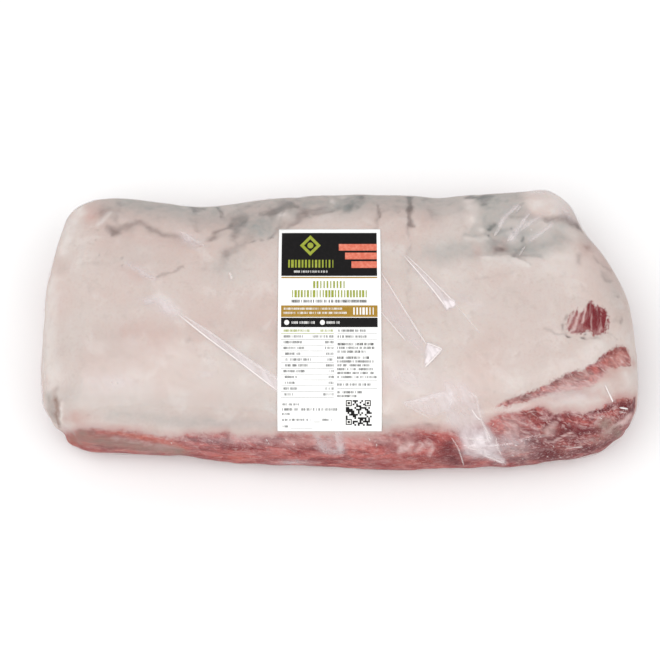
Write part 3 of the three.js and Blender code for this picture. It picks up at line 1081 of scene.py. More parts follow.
@dataclass(frozen=True)
class MeatFinish:
    """Pinkish white fat with grey seams, and bare lean meat where the fat ends."""

    fat_pale: Colour = srgb(208, 196, 190)
    fat_rosy: Colour = srgb(206, 188, 181)
    fat_cool_and_shade: Colour = srgb(150, 152, 149)
    fat_warm_and_shade: Colour = srgb(192, 156, 148)
    fat_bright: Colour = srgb(221, 212, 207)
    vessel: Colour = srgb(118, 102, 98)
    cool_vessel: Colour = srgb(104, 106, 104)
    speck: Colour = srgb(186, 172, 165)
    beside_lean_tint: Colour = srgb(180, 130, 126)
    lean_bright: Colour = srgb(184, 96, 90)
    lean_deep: Colour = srgb(134, 48, 50)
    lean_dusty: Colour = srgb(172, 124, 124)
    lean_window: Colour = srgb(122, 18, 30)
    blood: Colour = srgb(96, 10, 20)
    tendon: Colour = srgb(208, 178, 174)
    brown: Colour = srgb(140, 114, 104)
    orange: Colour = srgb(190, 96, 76)
    ragged_pixels: tuple[float, float] = (8, 6)
    streaked_pixels: float = 14
    edge_pixels: float = 2.4
    roughness: float = 0.42
    specular: float = 0.05
    relief_mm: float = 0.5
    relief_strength: float = 0.5
    glow: float = 0.15
    glow_mm: float = 1.2
    glow_spread: Colour = (1.0, 0.45, 0.3)

    def fat(self, shade: Shade, noise: MeatPatterns) -> NodeSocket:
        """The colour of the fat: pale and rosy, with specks, casts, vessels and pale spots, which also paint
        shade and highlights, and a darker pink band beside the lean.
        """
        mottle, fine = noise.mottle, noise.fine
        warm, cool = shade.attribute("warm"), shade.attribute("cool")
        vessel = shade.attribute("vessel") + (fine - 0.5) * 0.45 + (mottle - 0.5) * 0.3
        vessel_colour = shade.mix((cool - warm).step(0.1, 0.6), self.vessel, self.cool_vessel)
        # a darker pink band over the fat beside the front lean
        near_lean = (shade.attribute("front_depth") + (mottle - 0.5) * 14).step(-11, 1)
        return shade.layered(
            self.fat_pale,
            (noise.broad.step(0.35, 0.65), self.fat_rosy),
            (mottle.step(0.5, 0.72) * 0.5, self.fat_bright),
            ((1 - mottle.step(0.28, 0.44)) * 0.22, self.speck),
            ((1 - fine.step(0.3, 0.44)) * 0.3, self.speck),
            ((1 - noise.grain.step(0.3, 0.5)) * 0.16, self.fat_warm_and_shade),
            # the pinkish and bluish grey casts, the pale spots and the vessels below also paint shade and
            # highlights
            (warm * (0.3 + 1.2 * fine), self.fat_warm_and_shade),
            (cool * (0.5 * mottle + 1.3 * fine), self.fat_cool_and_shade),
            (shade.attribute("pale") * (0.2 + 1.5 * fine), self.fat_bright),
            (vessel.step(0.02, 1.1) * 0.95, vessel_colour),
            (near_lean * 0.6, self.beside_lean_tint),
        )

    def lean(self, shade: Shade, noise: MeatPatterns) -> NodeSocket:
        """The colour of the lean: fibres, dusty patches, blood, thin tendons, and the deep red window."""
        fine, flecks, patches, threads = noise.fine, noise.flecks, noise.patches, noise.threads
        marbled, window = shade.attribute("marbling"), shade.attribute("window")
        blood, tendon = shade.attribute("blood"), shade.attribute("tendon")
        seams = shade.veins(9, 0.045, (2.2, 1, 1)) * marbled * noise.mottle.step(0.4, 0.6)
        return shade.layered(
            self.lean_deep,
            (noise.fibre.step(0.36, 0.64), self.lean_bright),
            (patches.step(0.5, 0.6) * 0.8 * marbled, self.lean_dusty),
            ((1 - patches.step(0.36, 0.46)) * (0.15 + 0.55 * marbled), self.blood),
            ((1 - flecks.step(0.34, 0.45)) * (0.25 + 0.3 * marbled), self.blood),
            (shade.attribute("orange") * (0.5 + 0.8 * fine), self.orange),
            (seams * 0.4, self.tendon),
            (noise.strands.step(0.55, 0.68) * (0.12 + 0.5 * marbled), self.tendon),
            (blood * (0.3 + 1.3 * flecks), self.blood),
            ((1 - threads.step(0.36, 0.46)) * (0.1 + 0.4 * marbled), self.blood),
            (tendon * (0.6 * fine + 0.5 * flecks + 0.8 * threads), self.tendon),
            (threads.step(0.55, 0.66) * (0.06 + 0.4 * marbled), self.tendon),
            (window * (1 - tendon), self.lean_window),
            (window * blood * fine, self.blood),
            (window * noise.streaks.step(0.55, 0.66) * 0.22, self.tendon),
        )

    def build(self) -> Material:
        """Makes the material, with a ragged edge between fat and lean."""
        shade = Shade("pork")
        noise = MeatPatterns(shade)
        fine, grain = noise.fine, noise.grain
        coarse_rag, fine_rag = self.ragged_pixels
        ragged = shade.attribute("lean_depth") + (fine - 0.5) * coarse_rag + (grain - 0.5) * fine_rag
        ragged = ragged * (0.35 + 0.85 * shade.attribute("marbling"))
        ragged = ragged + shade.attribute("window") * (noise.streaks - 0.5) * self.streaked_pixels
        # the brownish marks also paint the shade in the crease at the left end
        browned_and_shaded = shade.attribute("brown") * (0.2 + 0.8 * fine + 0.6 * noise.threads)
        colour = shade.layered(
            self.fat(shade, noise),
            (ragged.step(-self.edge_pixels, self.edge_pixels), self.lean(shade, noise)),
            (browned_and_shaded, self.brown),
        )
        height = noise.mottle * 0.6 + fine * 0.3 + grain * 0.1
        more = {
            "Normal": shade.bump(height, self.relief_mm, self.relief_strength),
            "Subsurface Weight": self.glow,
            "Subsurface Radius": self.glow_spread,
            "Subsurface Scale": self.glow_mm * MM,
        }
        return shade.finish(shade.solid(colour, self.roughness + 0.16 * fine, self.specular, more))


@dataclass(frozen=True)
class FilmFinish:
    """Clear glossy film, milky where it is creased or lies double, with painted highlights where the milky
    marks stand for the light that its folds catch.
    """

    milk: Colour = srgb(238, 228, 230)
    milk_roughness: float = 0.35
    specular: float = 0.5
    relief_mm: float = 1.0
    relief_strength: float = 0.55
    shine: Colour = (1.0, 1.0, 1.0)
    roughness: float = 0.16
    index: float = 1.47
    gloss: float = 0.022
    rim_gloss: float = 0.03

    def build(self) -> Material:
        """Makes the material."""
        shade = Shade("shrink_film")
        mottle = shade.noise(7, 4.0)
        crinkle = shade.noise(16, 3.0, (3, 1, 1), (0, 0, 0.7), 1.2)
        tight = shade.noise(3.2, 2.0, (2, 1, 1), (0, 0, -0.5), 0.6)
        drawn = shade.noise(3.4, 3.0, (7, 1, 1), (0, 0, 1.1), 0.4)
        # milky film and painted highlights together
        haze = shade.attribute("haze") * (0.55 + 0.4 * mottle + 0.5 * drawn.step(0.3, 0.7))
        normal = shade.bump(crinkle * 0.75 + tight * 0.25, self.relief_mm, self.relief_strength)
        milky = shade.solid(self.milk, self.milk_roughness, self.specular, {"Normal": normal})
        veiled = shade.veil(haze, milky)
        inputs = {"Color": self.shine, "Roughness": self.roughness, "Normal": normal}
        gloss = shade.node("ShaderNodeBsdfGlossy", inputs)
        fresnel = shade.node("ShaderNodeFresnel", {"IOR": self.index, "Normal": normal})
        return shade.finish(shade.blend(self.gloss + self.rim_gloss * Number(shade, fresnel), veiled, gloss))


@dataclass(frozen=True)
class PleatFinish:
    """Doubled film: milky along its middle, with a painted highlight along its lower side, and clear at its
    edges; the milky colour also paints the highlight that the fold catches.
    """

    milk: Colour = srgb(246, 238, 236)
    roughness: float = 0.3
    specular: float = 0.35
    middle: float = 0.75
    lower_edge_highlight: float = 0.2

    def build(self) -> Material:
        """Makes the material."""
        shade = Shade("folded_film")
        across = shade.attribute("across")
        soft_edges = (1 - across * across).clamp() * self.middle
        # painted highlight along the lower side of the fold
        lit_edge = across.step(0.0, 0.6) * (1 - across.step(0.6, 1.0)) * self.lower_edge_highlight
        uneven = 0.6 + 0.8 * shade.noise(6, 3.0)
        cover = (soft_edges + lit_edge) * shade.attribute("milk") * uneven
        milky = shade.solid(self.milk, self.roughness, self.specular, {})
        return shade.finish(shade.veil(cover, milky))


@dataclass(frozen=True)
class CreaseGlintFinish:
    """Small creases in the film, painted white all over as glints: a painted highlight."""

    milk: Colour = srgb(252, 246, 244)
    roughness: float = 0.15
    specular: float = 0.6
    cover: float = 0.72

    def build(self) -> Material:
        """Makes the material."""
        shade = Shade("creased_film")
        cover = self.cover + 0.5 * (shade.noise(0.8, 2.0) - 0.5)
        milky = shade.solid(self.milk, self.roughness, self.specular, {})
        return shade.finish(shade.veil(cover, milky))


@dataclass(frozen=True)
class PaperFinish:
    """Smooth white coated paper with a faint fibre."""

    white: Colour = srgb(252, 252, 251)
    shaded: Colour = srgb(246, 246, 244)
    roughness: float = 0.4
    specular: float = 0.5
    relief_mm: float = 0.05
    relief_strength: float = 0.3

    def build(self) -> Material:
        """Makes the material."""
        shade = Shade("label_paper")
        fibre = shade.noise(2.2, 4.0, (3, 1, 1))
        colour = shade.mix(fibre.step(0.3, 0.7), self.white, self.shaded)
        more = {"Normal": shade.bump(fibre, self.relief_mm, self.relief_strength)}
        return shade.finish(shade.solid(colour, self.roughness + 0.1 * fibre, self.specular, more))


@dataclass(frozen=True)
class InkFinish:
    """Printing ink, a little uneven where it lies thinner."""

    name: str
    full: Colour
    thin: Colour
    roughness: float = 0.45
    specular: float = 0.18
    relief_mm: float = 0.02
    relief_strength: float = 0.3

    def build(self) -> Material:
        """Makes the material."""
        shade = Shade(self.name)
        wear = shade.noise(1.6, 4.0)
        colour = shade.mix(wear.step(0.35, 0.75), self.full, self.thin)
        more = {"Normal": shade.bump(wear, self.relief_mm, self.relief_strength)}
        return shade.finish(shade.solid(colour, self.roughness + 0.12 * wear, self.specular, more))


@dataclass(frozen=True)
class FloorFinish:
    """A plain pale studio floor."""

    pale: Colour = srgb(250, 250, 250)

    def build(self) -> Material:
        """Makes the material."""
        shade = Shade("studio_floor")
        return shade.finish(shade.node("ShaderNodeBsdfDiffuse", {"Color": self.pale}))


# Meshes


def shown(name: str, mesh: Mesh, material: Material) -> Object:
    """Adds an object for a mesh, with smooth faces and its material."""
    piece = bpy.data.objects.new(name, mesh)
    bpy.context.scene.collection.objects.link(piece)
    mesh.materials.clear()
    mesh.materials.append(material)
    mesh.shade_smooth()
    return piece


def new_mesh(name: str, points: Sequence, edges: Sequence = (), faces: Sequence = ()) -> Mesh:
    """A mesh of some points, and of edges or faces that name them by their places."""
    mesh = bpy.data.meshes.new(name)
    mesh.from_pydata(points, edges, faces)
    return mesh


def evaluated(piece: Object) -> Mesh:
    """A new mesh of a piece as its modifiers make it, with all that its points hold."""
    graph = bpy.context.evaluated_depsgraph_get()
    whole = piece.evaluated_get(graph)
    return bpy.data.meshes.new_from_object(whole, preserve_all_data_layers=True, depsgraph=graph)


def coordinates(mesh: Mesh) -> Array:
    """The points of a mesh, one row each."""
    points = np.zeros(len(mesh.vertices) * 3)
    mesh.vertices.foreach_get("co", points)
    return points.reshape(-1, 3)


def give_numbers(mesh: Mesh, name: str, values: Array) -> None:
    """Stores one number for each point of a mesh."""
    stored = mesh.attributes.new(name, "FLOAT", "POINT")
    stored.data.foreach_set("value", values.astype(np.float32))


def give_vectors(mesh: Mesh, name: str, values: Array) -> None:
    """Stores one vector for each point of a mesh."""
    stored = mesh.attributes.new(name, "FLOAT_VECTOR", "POINT")
    stored.data.foreach_set("vector", values.astype(np.float32).ravel())


def unevenness(points: Array, grain_mm: float, seed: int, waves: int = 12) -> Array:
    """Smooth seeded unevenness, a sum of waves in all directions, mostly from -1 to 1.

    Args:
        points: One row of three coordinates for each point.
        grain_mm: The size of a bump and its dip together.
        seed: Which unevenness.
        waves: How many waves are added up.

    Returns:
        One height for each point.
    """
    shortest, longest = 0.7, 1.6
    random = np.random.default_rng(seed)
    total = np.zeros(len(points))
    for _ in range(waves):
        direction = random.normal(size=3)
        direction /= np.linalg.norm(direction)
        turns = points @ direction / (grain_mm * MM * random.uniform(shortest, longest))
        total += np.sin(math.tau * (turns + random.uniform()))
    return total / math.sqrt(waves)


def through(corners: Sequence[Pixel], step: float) -> Array:
    """Points along a smooth line through some corners.

    Args:
        corners: The corners, in order.
        step: About how far apart the points are.

    Returns:
        One row of two coordinates for each point.
    """
    knots = np.array([corners[0], *corners, corners[-1]], float)
    points = []
    for before, start, end, after in zip(knots, knots[1:], knots[2:], knots[3:]):
        count = max(1, round(float(np.linalg.norm(end - start)) / step))
        for t in np.arange(count) / count:
            bend = -before + 3 * start - 3 * end + after
            lean = 2 * before - 5 * start + 4 * end - after
            points.append(start + 0.5 * t * ((end - before) + t * (lean + t * bend)))
    return np.array([*points, corners[-1]])


class Skin:
    """The bag's outer surface: the CAD solid made fine, and where the photograph shows each point of it."""

    SQUARE_ENOUGH = 0.22
    MERGE_MM = 0.001
    JOIN_BEND = 1.2
    JOIN_SKEW = 1.6

    def __init__(self, node: Object, levels: int) -> None:
        """Makes a fine copy of a CAD node's mesh and fills it out."""
        self.mesh = self._fine(node, levels)
        self._divide_fine_places()
        self._measure()
        out_mm = sum(lift * oval.cover(self.places) for oval, lift in FULLNESS)
        self.mesh = self.moved("full_loin", out_mm)
        self._measure()
        faces = [tuple(face.vertices) for face in self.mesh.polygons]
        self.faces = BVHTree.FromPolygons(self.points.tolist(), faces)

    def _measure(self) -> None:
        """Takes the points and normals of the mesh, and where and how squarely the photograph shows them."""
        self.points = coordinates(self.mesh)
        normals = np.zeros(len(self.points) * 3)
        self.mesh.vertex_normals.foreach_get("vector", normals)
        self.normals = normals.reshape(-1, 3)
        self.places = VIEW.pixels(self.points)
        self.seen = smooth_step(VIEW.facing(self.points, self.normals), 0.0, self.SQUARE_ENOUGH)

    def _divide_fine_places(self) -> None:
        """Divides the faces once more where the photograph shows the finest detail."""
        shape = bmesh.new()
        shape.from_mesh(self.mesh)
        centres = np.array([face.calc_center_median() for face in shape.faces])
        normals = np.array([face.normal for face in shape.faces])
        places = VIEW.pixels(centres)
        chosen = np.zeros(len(places), bool)
        for left, top, right, bottom in FINE_PLACES:
            inside = (places > (left, top)) & (places < (right, bottom))
            chosen |= inside.all(1)
        chosen &= VIEW.facing(centres, normals) > 0
        shape.faces.ensure_lookup_table()
        edges = {edge for index in np.flatnonzero(chosen) for edge in shape.faces[index].edges}
        in_order = sorted(edges, key=lambda edge: edge.index)
        bmesh.ops.subdivide_edges(shape, edges=in_order, cuts=1, use_grid_fill=True)
        shape.to_mesh(self.mesh)
        shape.free()

    @staticmethod
    def _fine(node: Object, levels: int) -> Mesh:
        """The node's loose triangles with shared points, joined into squares and subdivided."""
        shape = bmesh.new()
        shape.from_mesh(node.data)
        bmesh.ops.remove_doubles(shape, verts=shape.verts, dist=Skin.MERGE_MM * MM)
        bmesh.ops.join_triangles(
            shape,
            faces=shape.faces,
            angle_face_threshold=Skin.JOIN_BEND,
            angle_shape_threshold=Skin.JOIN_SKEW,
        )
        coarse = bpy.data.meshes.new("coarse_loin")
        shape.to_mesh(coarse)
        shape.free()
        holder = bpy.data.objects.new("coarse_loin", coarse)
        bpy.context.scene.collection.objects.link(holder)
        smoothing = holder.modifiers.new("smooth", "SUBSURF")
        smoothing.levels = levels
        smoothing.render_levels = levels
        fine = evaluated(holder)
        bpy.data.objects.remove(holder)
        return fine

    def wavy_places(self, pixels: float) -> Array:
        """Where the photograph shows each point, shifted by some pixels, so that marks run unevenly."""
        shifts = [
            unevenness(self.points, 9, seed) + 0.5 * unevenness(self.points, 4, seed + 1)
            for seed in (31, 33)
        ]
        return self.places + pixels * np.stack(shifts, 1)

    def moved(self, name: str, out_mm: Array) -> Mesh:
        """A copy of the surface with each point moved out along its normal, kept above the table."""
        mesh = self.mesh.copy()
        mesh.name = name
        points = self.points + self.normals * out_mm[:, None] * MM
        points[:, 2] = np.maximum(points[:, 2], 0)
        mesh.vertices.foreach_set("co", points.ravel())
        mesh.update()
        return mesh

    def laid(self, place: Pixel, side: Side) -> tuple[Vector, Vector]:
        """Where a place on one side's picture lies on the surface.

        Args:
            place: A pixel, or millimetres on an end or on the back.
            side: The side that the place is given on.

        Returns:
            The point, and the surface's normal there.
        """
        reach = 1.0
        first, second = place[0] * MM, place[1] * MM
        lines = {
            Side.PHOTO: (VIEW.eye(), VIEW.sight(place)),
            Side.LEFT: ((-reach, first, second), (1, 0, 0)),
            Side.RIGHT: ((reach, first, second), (-1, 0, 0)),
            Side.BACK: ((first, reach, second), (0, -1, 0)),
        }
        start, direction = lines[side]
        point, normal, *_ = self.faces.ray_cast(Vector(start), Vector(direction))
        if point is None:
            point, normal, *_ = self.faces.find_nearest(Vector(start) + Vector(direction) * VIEW.distance)
        return point, normal


# The meat


@dataclass
class Loin:
    """The meat in the bag, a little smaller than the bag all round."""

    skin: Skin
    gap_mm: float = 0.45
    swell_mm: float = 0.22
    lean_swell_mm: float = 0.4
    lean_drop_mm: float = 0.45
    window_drop_mm: float = 0.7
    half_length: float = 0.16
    half_width: float = 0.078
    bearings: tuple[int, ...] = (-180, -135, -90, -45, 0, 45, 90, 135, 180)
    lean_heights_mm: tuple[int, ...] = (15, 20, 22, 25, 34, 25, 19, 16, 15)
    deepest: float = 40.0
    vessel_groove_mm: float = 0.15
    hollow_share: float = 0.4
    wavy_pixels: float = 1.3
    left_marbling: float = 0.35
    hidden_marbling: float = 0.8
    hidden_cool: float = 0.45
    hidden_warm: float = 0.25
    hidden_vessels: float = 0.5
    hidden_blood: float = 0.4

    def lean_depth(self, *outlines: tuple[Pixel, ...]) -> Array:
        """How deep each point lies in bare meat, in the photograph's pixels, below 0 on fat.

        Args:
            outlines: The bare meat on the side that the photograph shows.

        Returns:
            One depth for each point.
        """
        places = self.skin.places
        shown_depth = np.max([depth_inside(places, outline) for outline in outlines], axis=0)
        points = self.skin.points
        bearing = np.degrees(np.arctan2(points[:, 1] / self.half_width, points[:, 0] / self.half_length))
        edge = np.interp(bearing, self.bearings, self.lean_heights_mm)
        wave = 2.5 * unevenness(points, 55, seed=3) + 1.2 * unevenness(points, 16, seed=4)
        pixels_per_mm = VIEW.focal_pixels() / VIEW.distance * MM
        hidden_depth = (edge + wave - points[:, 2] / MM) * pixels_per_mm
        depth = self.skin.seen * shown_depth + (1 - self.skin.seen) * hidden_depth
        return np.clip(depth, -self.deepest, self.deepest)

    def relief(self, depth: Array) -> Array:
        """How far each point of the meat lies outside the bag's surface, always below 0, in millimetres."""
        points, places, seen = self.skin.points, self.skin.places, self.skin.seen
        lean = smooth_step(depth, -6, 7)
        height = self.swell_mm * (unevenness(points, 22, seed=11) + 0.45 * unevenness(points, 8, seed=12))
        height += lean * self.lean_swell_mm * unevenness(points * np.array([0.45, 1, 1]), 10, seed=13)
        height -= lean * self.lean_drop_mm
        height -= seen * self.window_drop_mm * smooth_step(depth_inside(places, WINDOW), -1, 4)
        height -= self.vessel_groove_mm * seen * covered(places, VESSELS_AND_FOLD_SHADE)
        for hollow, lift in BRIDGES:
            height -= self.hollow_share * lift * seen * hollow.cover(places)
        return np.minimum(height, 0) - self.gap_mm

    def build(self) -> tuple[Object, Array]:
        """Makes the meat.

        Returns:
            The meat, and how far each of its points lies outside the bag's surface, in millimetres.
        """
        depth = self.lean_depth(FRONT_MEAT, UPPER_STRIP, WINDOW)
        out = self.relief(depth)
        mesh = self.skin.moved("loin_meat", out)
        points, seen = self.skin.points, self.skin.seen
        hidden = 1 - seen
        places = self.skin.wavy_places(self.wavy_pixels)
        under = smooth_step(-self.skin.normals[:, 2], 0.6, 0.95)
        silverskin = under * (0.35 + 0.4 * smooth_step(unevenness(points, 60, seed=6), 0.1, 0.9))
        towards_back = smooth_step(points[:, 1], 0.01, 0.07)
        back_vessels = smooth_step(unevenness(points, 34, seed=5), 0.9, 1.6)
        # the bluish grey and pinkish casts, the vessels and the brownish marks also carry painted shade, and
        # the pale spots carry painted highlights
        seen_and_hidden = {
            "cool": (COOL_CASTS_AND_SHADE, self.hidden_cool * hidden * towards_back),
            "warm": (WARM_CASTS_AND_SHADE, self.hidden_warm * hidden),
            "pale": (PALE_SPOTS_AND_HIGHLIGHTS, 0),
            "vessel": (VESSELS_AND_FOLD_SHADE, self.hidden_vessels * hidden * back_vessels),
            "blood": (BLOOD, self.hidden_blood * hidden * (1 - under)),
            "brown": (BROWN_AND_CREASE_SHADE, 0),
            "orange": (ORANGE, 0),
            "tendon": (TENDON, silverskin),
        }
        for name, (marks, elsewhere) in seen_and_hidden.items():
            give_numbers(mesh, name, seen * covered(places, marks) + elsewhere)
        right_part = smooth_step(places[:, 0], 480, 520)
        marbled = self.left_marbling + (1 - self.left_marbling) * right_part
        give_numbers(mesh, "marbling", seen * marbled + self.hidden_marbling * hidden)
        give_numbers(mesh, "lean_depth", depth)
        give_numbers(mesh, "front_depth", self.lean_depth(FRONT_MEAT))
        give_numbers(mesh, "window", seen * smooth_step(depth_inside(places, WINDOW), -6, 0))
        meat = shown("loin_meat", mesh, MeatFinish().build())
        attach(meat, BODY)
        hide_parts(LOIN_NODE)
        return meat, out


# The bag


@dataclass
class ShrinkBag:
    """The clear bag: its skin, its folds, and the small creases, painted white as glints."""

    skin: Skin
    meat_out: Array
    clearance_mm: float = 0.2
    wrinkle_mm: float = 0.12
    path_step: float = 2.5
    flatness: float = 0.26
    lift_mm: float = 0.06
    tip_width: float = 0.25
    widening: float = 5.0
    least_haze: float = 0.02
    crease_mm: float = 1.1
    creases_per_m2: float = 200000.0
    crease_seed: int = 8

    # Where the film has small creases, each painted white as a glint
    CREASED = (
        Trace(((361, 442), (369, 443), (377, 442)), 2, 1.0),
        Trace(((268, 441), (280, 441), (292, 441)), 2, 0.8),
        Patch((112, 386), (22, 7), 0.05),
        Patch((212, 374), (7, 3), 0.12),
        Patch((410, 381), (8, 4), 0.08),
        Patch((428, 365), (4, 2), 0.2),
        Patch((512, 452), (8, 6), 0.12),
        Patch((560, 432), (46, 16), 0.03),
        Patch((505, 238), (20, 9), 0.04),
        Patch((556, 382), (4, 2), 0.6, 12),
        Patch((545, 453), (30, 7), 0.04),
        Patch((190, 440), (20, 4), 0.1),
        Patch((260, 447), (40, 5), 0.05),
        Patch((157, 297), (8, 5), 0.08, -40),
    )

    def film(self) -> Object:
        """Makes the bag's skin, which lies on the meat and bridges its hollows."""
        points, places, seen = self.skin.points, self.skin.places, self.skin.seen
        out = self.wrinkle_mm * (unevenness(points, 13, seed=21) - 0.6)
        for hollow, lift in BRIDGES:
            out += lift * seen * hollow.cover(places)
        out = np.maximum(out, self.meat_out + self.clearance_mm)
        mesh = self.skin.moved("shrink_film", out)
        hidden_haze = (1 - seen) * 0.3 * smooth_step(unevenness(points, 30, seed=22), 0.5, 1.6)
        give_numbers(mesh, "haze", seen * covered(places, HAZE_AND_HIGHLIGHTS) + hidden_haze + self.least_haze)
        give_numbers(mesh, "creased", seen * covered(places, self.CREASED))
        film = shown("shrink_film", mesh, FilmFinish().build())
        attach(film, BODY)
        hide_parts(LOIN_NODE)
        return film

    def fold_paths(self) -> Mesh:
        """The middle lines of all the folds, laid onto the bag, as one mesh of edges."""
        points, edges, normals, reaches, milks = [], [], [], [], []
        for pleat in PLEATS:
            path = through(pleat.line, self.path_step)
            for index, place in enumerate(path):
                share = index / (len(path) - 1)
                width = pleat.width_mm[0] + share * (pleat.width_mm[1] - pleat.width_mm[0])
                taper = min(1.0, self.tip_width + self.widening * min(share, 1 - share))
                point, normal = self.skin.laid(tuple(place), pleat.side)
                points.append(point + normal * self.lift_mm * MM)
                normals.append(normal)
                reaches.append(width / 2 * taper * MM)
                milks.append(pleat.milk)
                if index:
                    edges.append((len(points) - 2, len(points) - 1))
        mesh = new_mesh("fold_paths", points, edges)
        give_vectors(mesh, "surface_normal", np.array(normals))
        give_numbers(mesh, "reach", np.array(reaches))
        give_numbers(mesh, "milk", np.array(milks))
        return mesh

    def fold_tree(self) -> GeometryTree:
        """Makes the tree that sweeps a flat ribbon with raised edges along the folds' lines."""
        tree = GeometryTree("film_folds")
        flatness = tree.number("Flatness")
        material = tree.named("Material", "NodeSocketMaterial")
        line = tree.node("GeometryNodeMeshToCurve", {0: tree.source})
        along = tree.node("GeometryNodeSetCurveNormal", {0: line}, mode="FREE")
        tree.feed(along.inputs["Normal"], tree.attribute("surface_normal", "FLOAT_VECTOR"))
        circle = tree.node("GeometryNodeCurvePrimitiveCircle", {"Resolution": 14, "Radius": 1.0})
        position = tree.node("GeometryNodeInputPosition")
        parts = tree.node("ShaderNodeSeparateXYZ", {0: position}).outputs
        across = Number(tree, parts[1])
        rise = Number(tree, parts[0]) * (0.5 + 0.9 * across * across) * flatness
        squashed = tree.node("ShaderNodeCombineXYZ", {0: rise, 1: across})
        ribbon = tree.node("GeometryNodeSetPosition", {0: circle, "Position": squashed})
        inputs = {0: ribbon, "Name": "across", "Value": across}
        marked = tree.node("GeometryNodeStoreNamedAttribute", inputs, data_type="FLOAT", domain="POINT")
        reach = tree.attribute("reach")
        inputs = {"Curve": along, "Profile Curve": marked, "Scale": reach, "Fill Caps": True}
        tree.finish(tree.node("GeometryNodeCurveToMesh", inputs), material)
        return tree

    def folds(self) -> Object:
        """Makes the folds of doubled film."""
        values = {"Flatness": self.flatness, "Material": PleatFinish().build()}
        folds = self.fold_tree().grow("film_folds", self.fold_paths(), values)
        folds.data.shade_smooth()
        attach(folds, BODY)
        return folds

    def crease_tree(self) -> GeometryTree:
        """Makes the tree that scatters short curved ridges over the creased places of the film."""
        tree = GeometryTree("film_creases")
        density = tree.number("Density")
        length = tree.number("Length")
        seed = tree.named("Seed", "NodeSocketInt")
        material = tree.named("Material", "NodeSocketMaterial")
        density_here = Number(tree, tree.attribute("creased")) * density
        inputs = {0: tree.source, "Density": density_here, "Seed": seed}
        spots = tree.node("GeometryNodeDistributePointsOnFaces", inputs, distribute_method="RANDOM")
        inputs = {"Resolution": 6, "Radius": 0.8, "Start Angle": 0.4, "Sweep Angle": 1.3}
        arc = tree.node("GeometryNodeCurveArc", inputs)
        thin = tree.node("GeometryNodeCurvePrimitiveCircle", {"Resolution": 5, "Radius": 0.12})
        inputs = {"Curve": arc, "Profile Curve": thin, "Fill Caps": True}
        ridge = tree.node("GeometryNodeCurveToMesh", inputs)
        own_turn = tree.node("ShaderNodeCombineXYZ", {2: tree.random(0.0, math.tau, seed)})
        inputs = {0: spots.outputs["Rotation"], 1: own_turn}
        turned = tree.node("FunctionNodeRotateRotation", inputs, rotation_space="LOCAL")
        size = tree.random(0.4, 1.3, seed) * length
        inputs = {"Points": spots, "Instance": ridge, "Rotation": turned, "Scale": size}
        tree.finish(tree.node("GeometryNodeInstanceOnPoints", inputs), material)
        return tree

    def creases(self, film: Object) -> Object:
        """Makes the small creases, painted white as glints."""
        values = {
            "Density": self.creases_per_m2,
            "Length": self.crease_mm * MM,
            "Seed": self.crease_seed,
            "Material": CreaseGlintFinish().build(),
        }
        creases = self.crease_tree().grow("film_creases", film.data.copy(), values)
        creases.data.shade_smooth()
        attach(creases, BODY)
        return creases


# The label


class Ink(Enum):
    """The label's printing inks: full and thin colour."""

    BLACK = (srgb(12, 10, 11), srgb(20, 17, 18))
    OCHRE = (srgb(164, 126, 44), srgb(172, 136, 60))
    GREEN = (srgb(150, 160, 52), srgb(164, 172, 74))
    CORAL = (srgb(214, 110, 88), srgb(232, 140, 118))
    GREY = (srgb(84, 84, 84), srgb(120, 120, 120))
    WHITE = (srgb(250, 250, 248), srgb(238, 236, 230))


class Shape(Enum):
    """The outline of a printed field."""

    BAR = "bar"
    OVAL = "oval"
    DIAMOND = "diamond"


@dataclass(frozen=True)
class Printed:
    """Something printed, in millimetres from the label's top left corner."""

    ink: Ink
    left: float
    top: float
    width: float
    height: float


@dataclass(frozen=True)
class PrintedField(Printed):
    """A plain shape."""

    shape: Shape = Shape.BAR
    layer: int = 0


@dataclass(frozen=True)
class PrintedRow(Printed):
    """A row of small marks in the place of a line of print."""

    gaps: float = 0.12


TABLE_TOP = 56.0
TABLE_PITCH = 3.02
CODE_LEFT = 35.7
CODE_TOP = 90.7
CODE_SIDE = 13.5
CODE_CELLS = 15
CORNER_CELLS = 4


def table_rows() -> tuple[PrintedRow, ...]:
    """The rows of the table in the left column: a short name and a shorter value in each."""
    letter = 1.25
    names = (9.6, 9.2, 10.4, 7.6, 13.2, 11.6, 10.8, 6.0, 4.6, 7.0, 5.2)
    amounts = (11.2, 4.0, 4.0, 3.6, 3.4, 3.6, 2.2, 2.2, 2.2, 4.4, 5.2)
    rows = []
    for index, (name, amount) in enumerate(zip(names, amounts)):
        top = TABLE_TOP + TABLE_PITCH * index + 0.9
        indent = 3.3 + (0.8 if index in (3, 4, 5, 7, 8) else 0.0)
        rows.append(PrintedRow(Ink.GREY, indent, top, name, letter))
        rows.append(PrintedRow(Ink.GREY, 29.2 - amount, top, amount, letter))
    return tuple(rows)


def rules() -> tuple[PrintedField, ...]:
    """The thin rules of both columns and of the two lines to fill in."""
    thin = 0.15
    head = PrintedField(Ink.GREEN, 1.8, 55.9, 27.7, 0.25)
    left = [PrintedField(Ink.GREY, 1.8, TABLE_TOP + TABLE_PITCH * row, 27.7, thin) for row in range(1, 12)]
    right = [PrintedField(Ink.GREY, 31.2, top, 20.9, thin) for top in (55.8, 58.9, 80.6, 84.6)]
    blanks = [PrintedField(Ink.GREY, 18.9, 102.1, 3.6, thin), PrintedField(Ink.GREY, 7.1, 105.4, 11.4, thin)]
    return (head, *left, *right, *blanks)


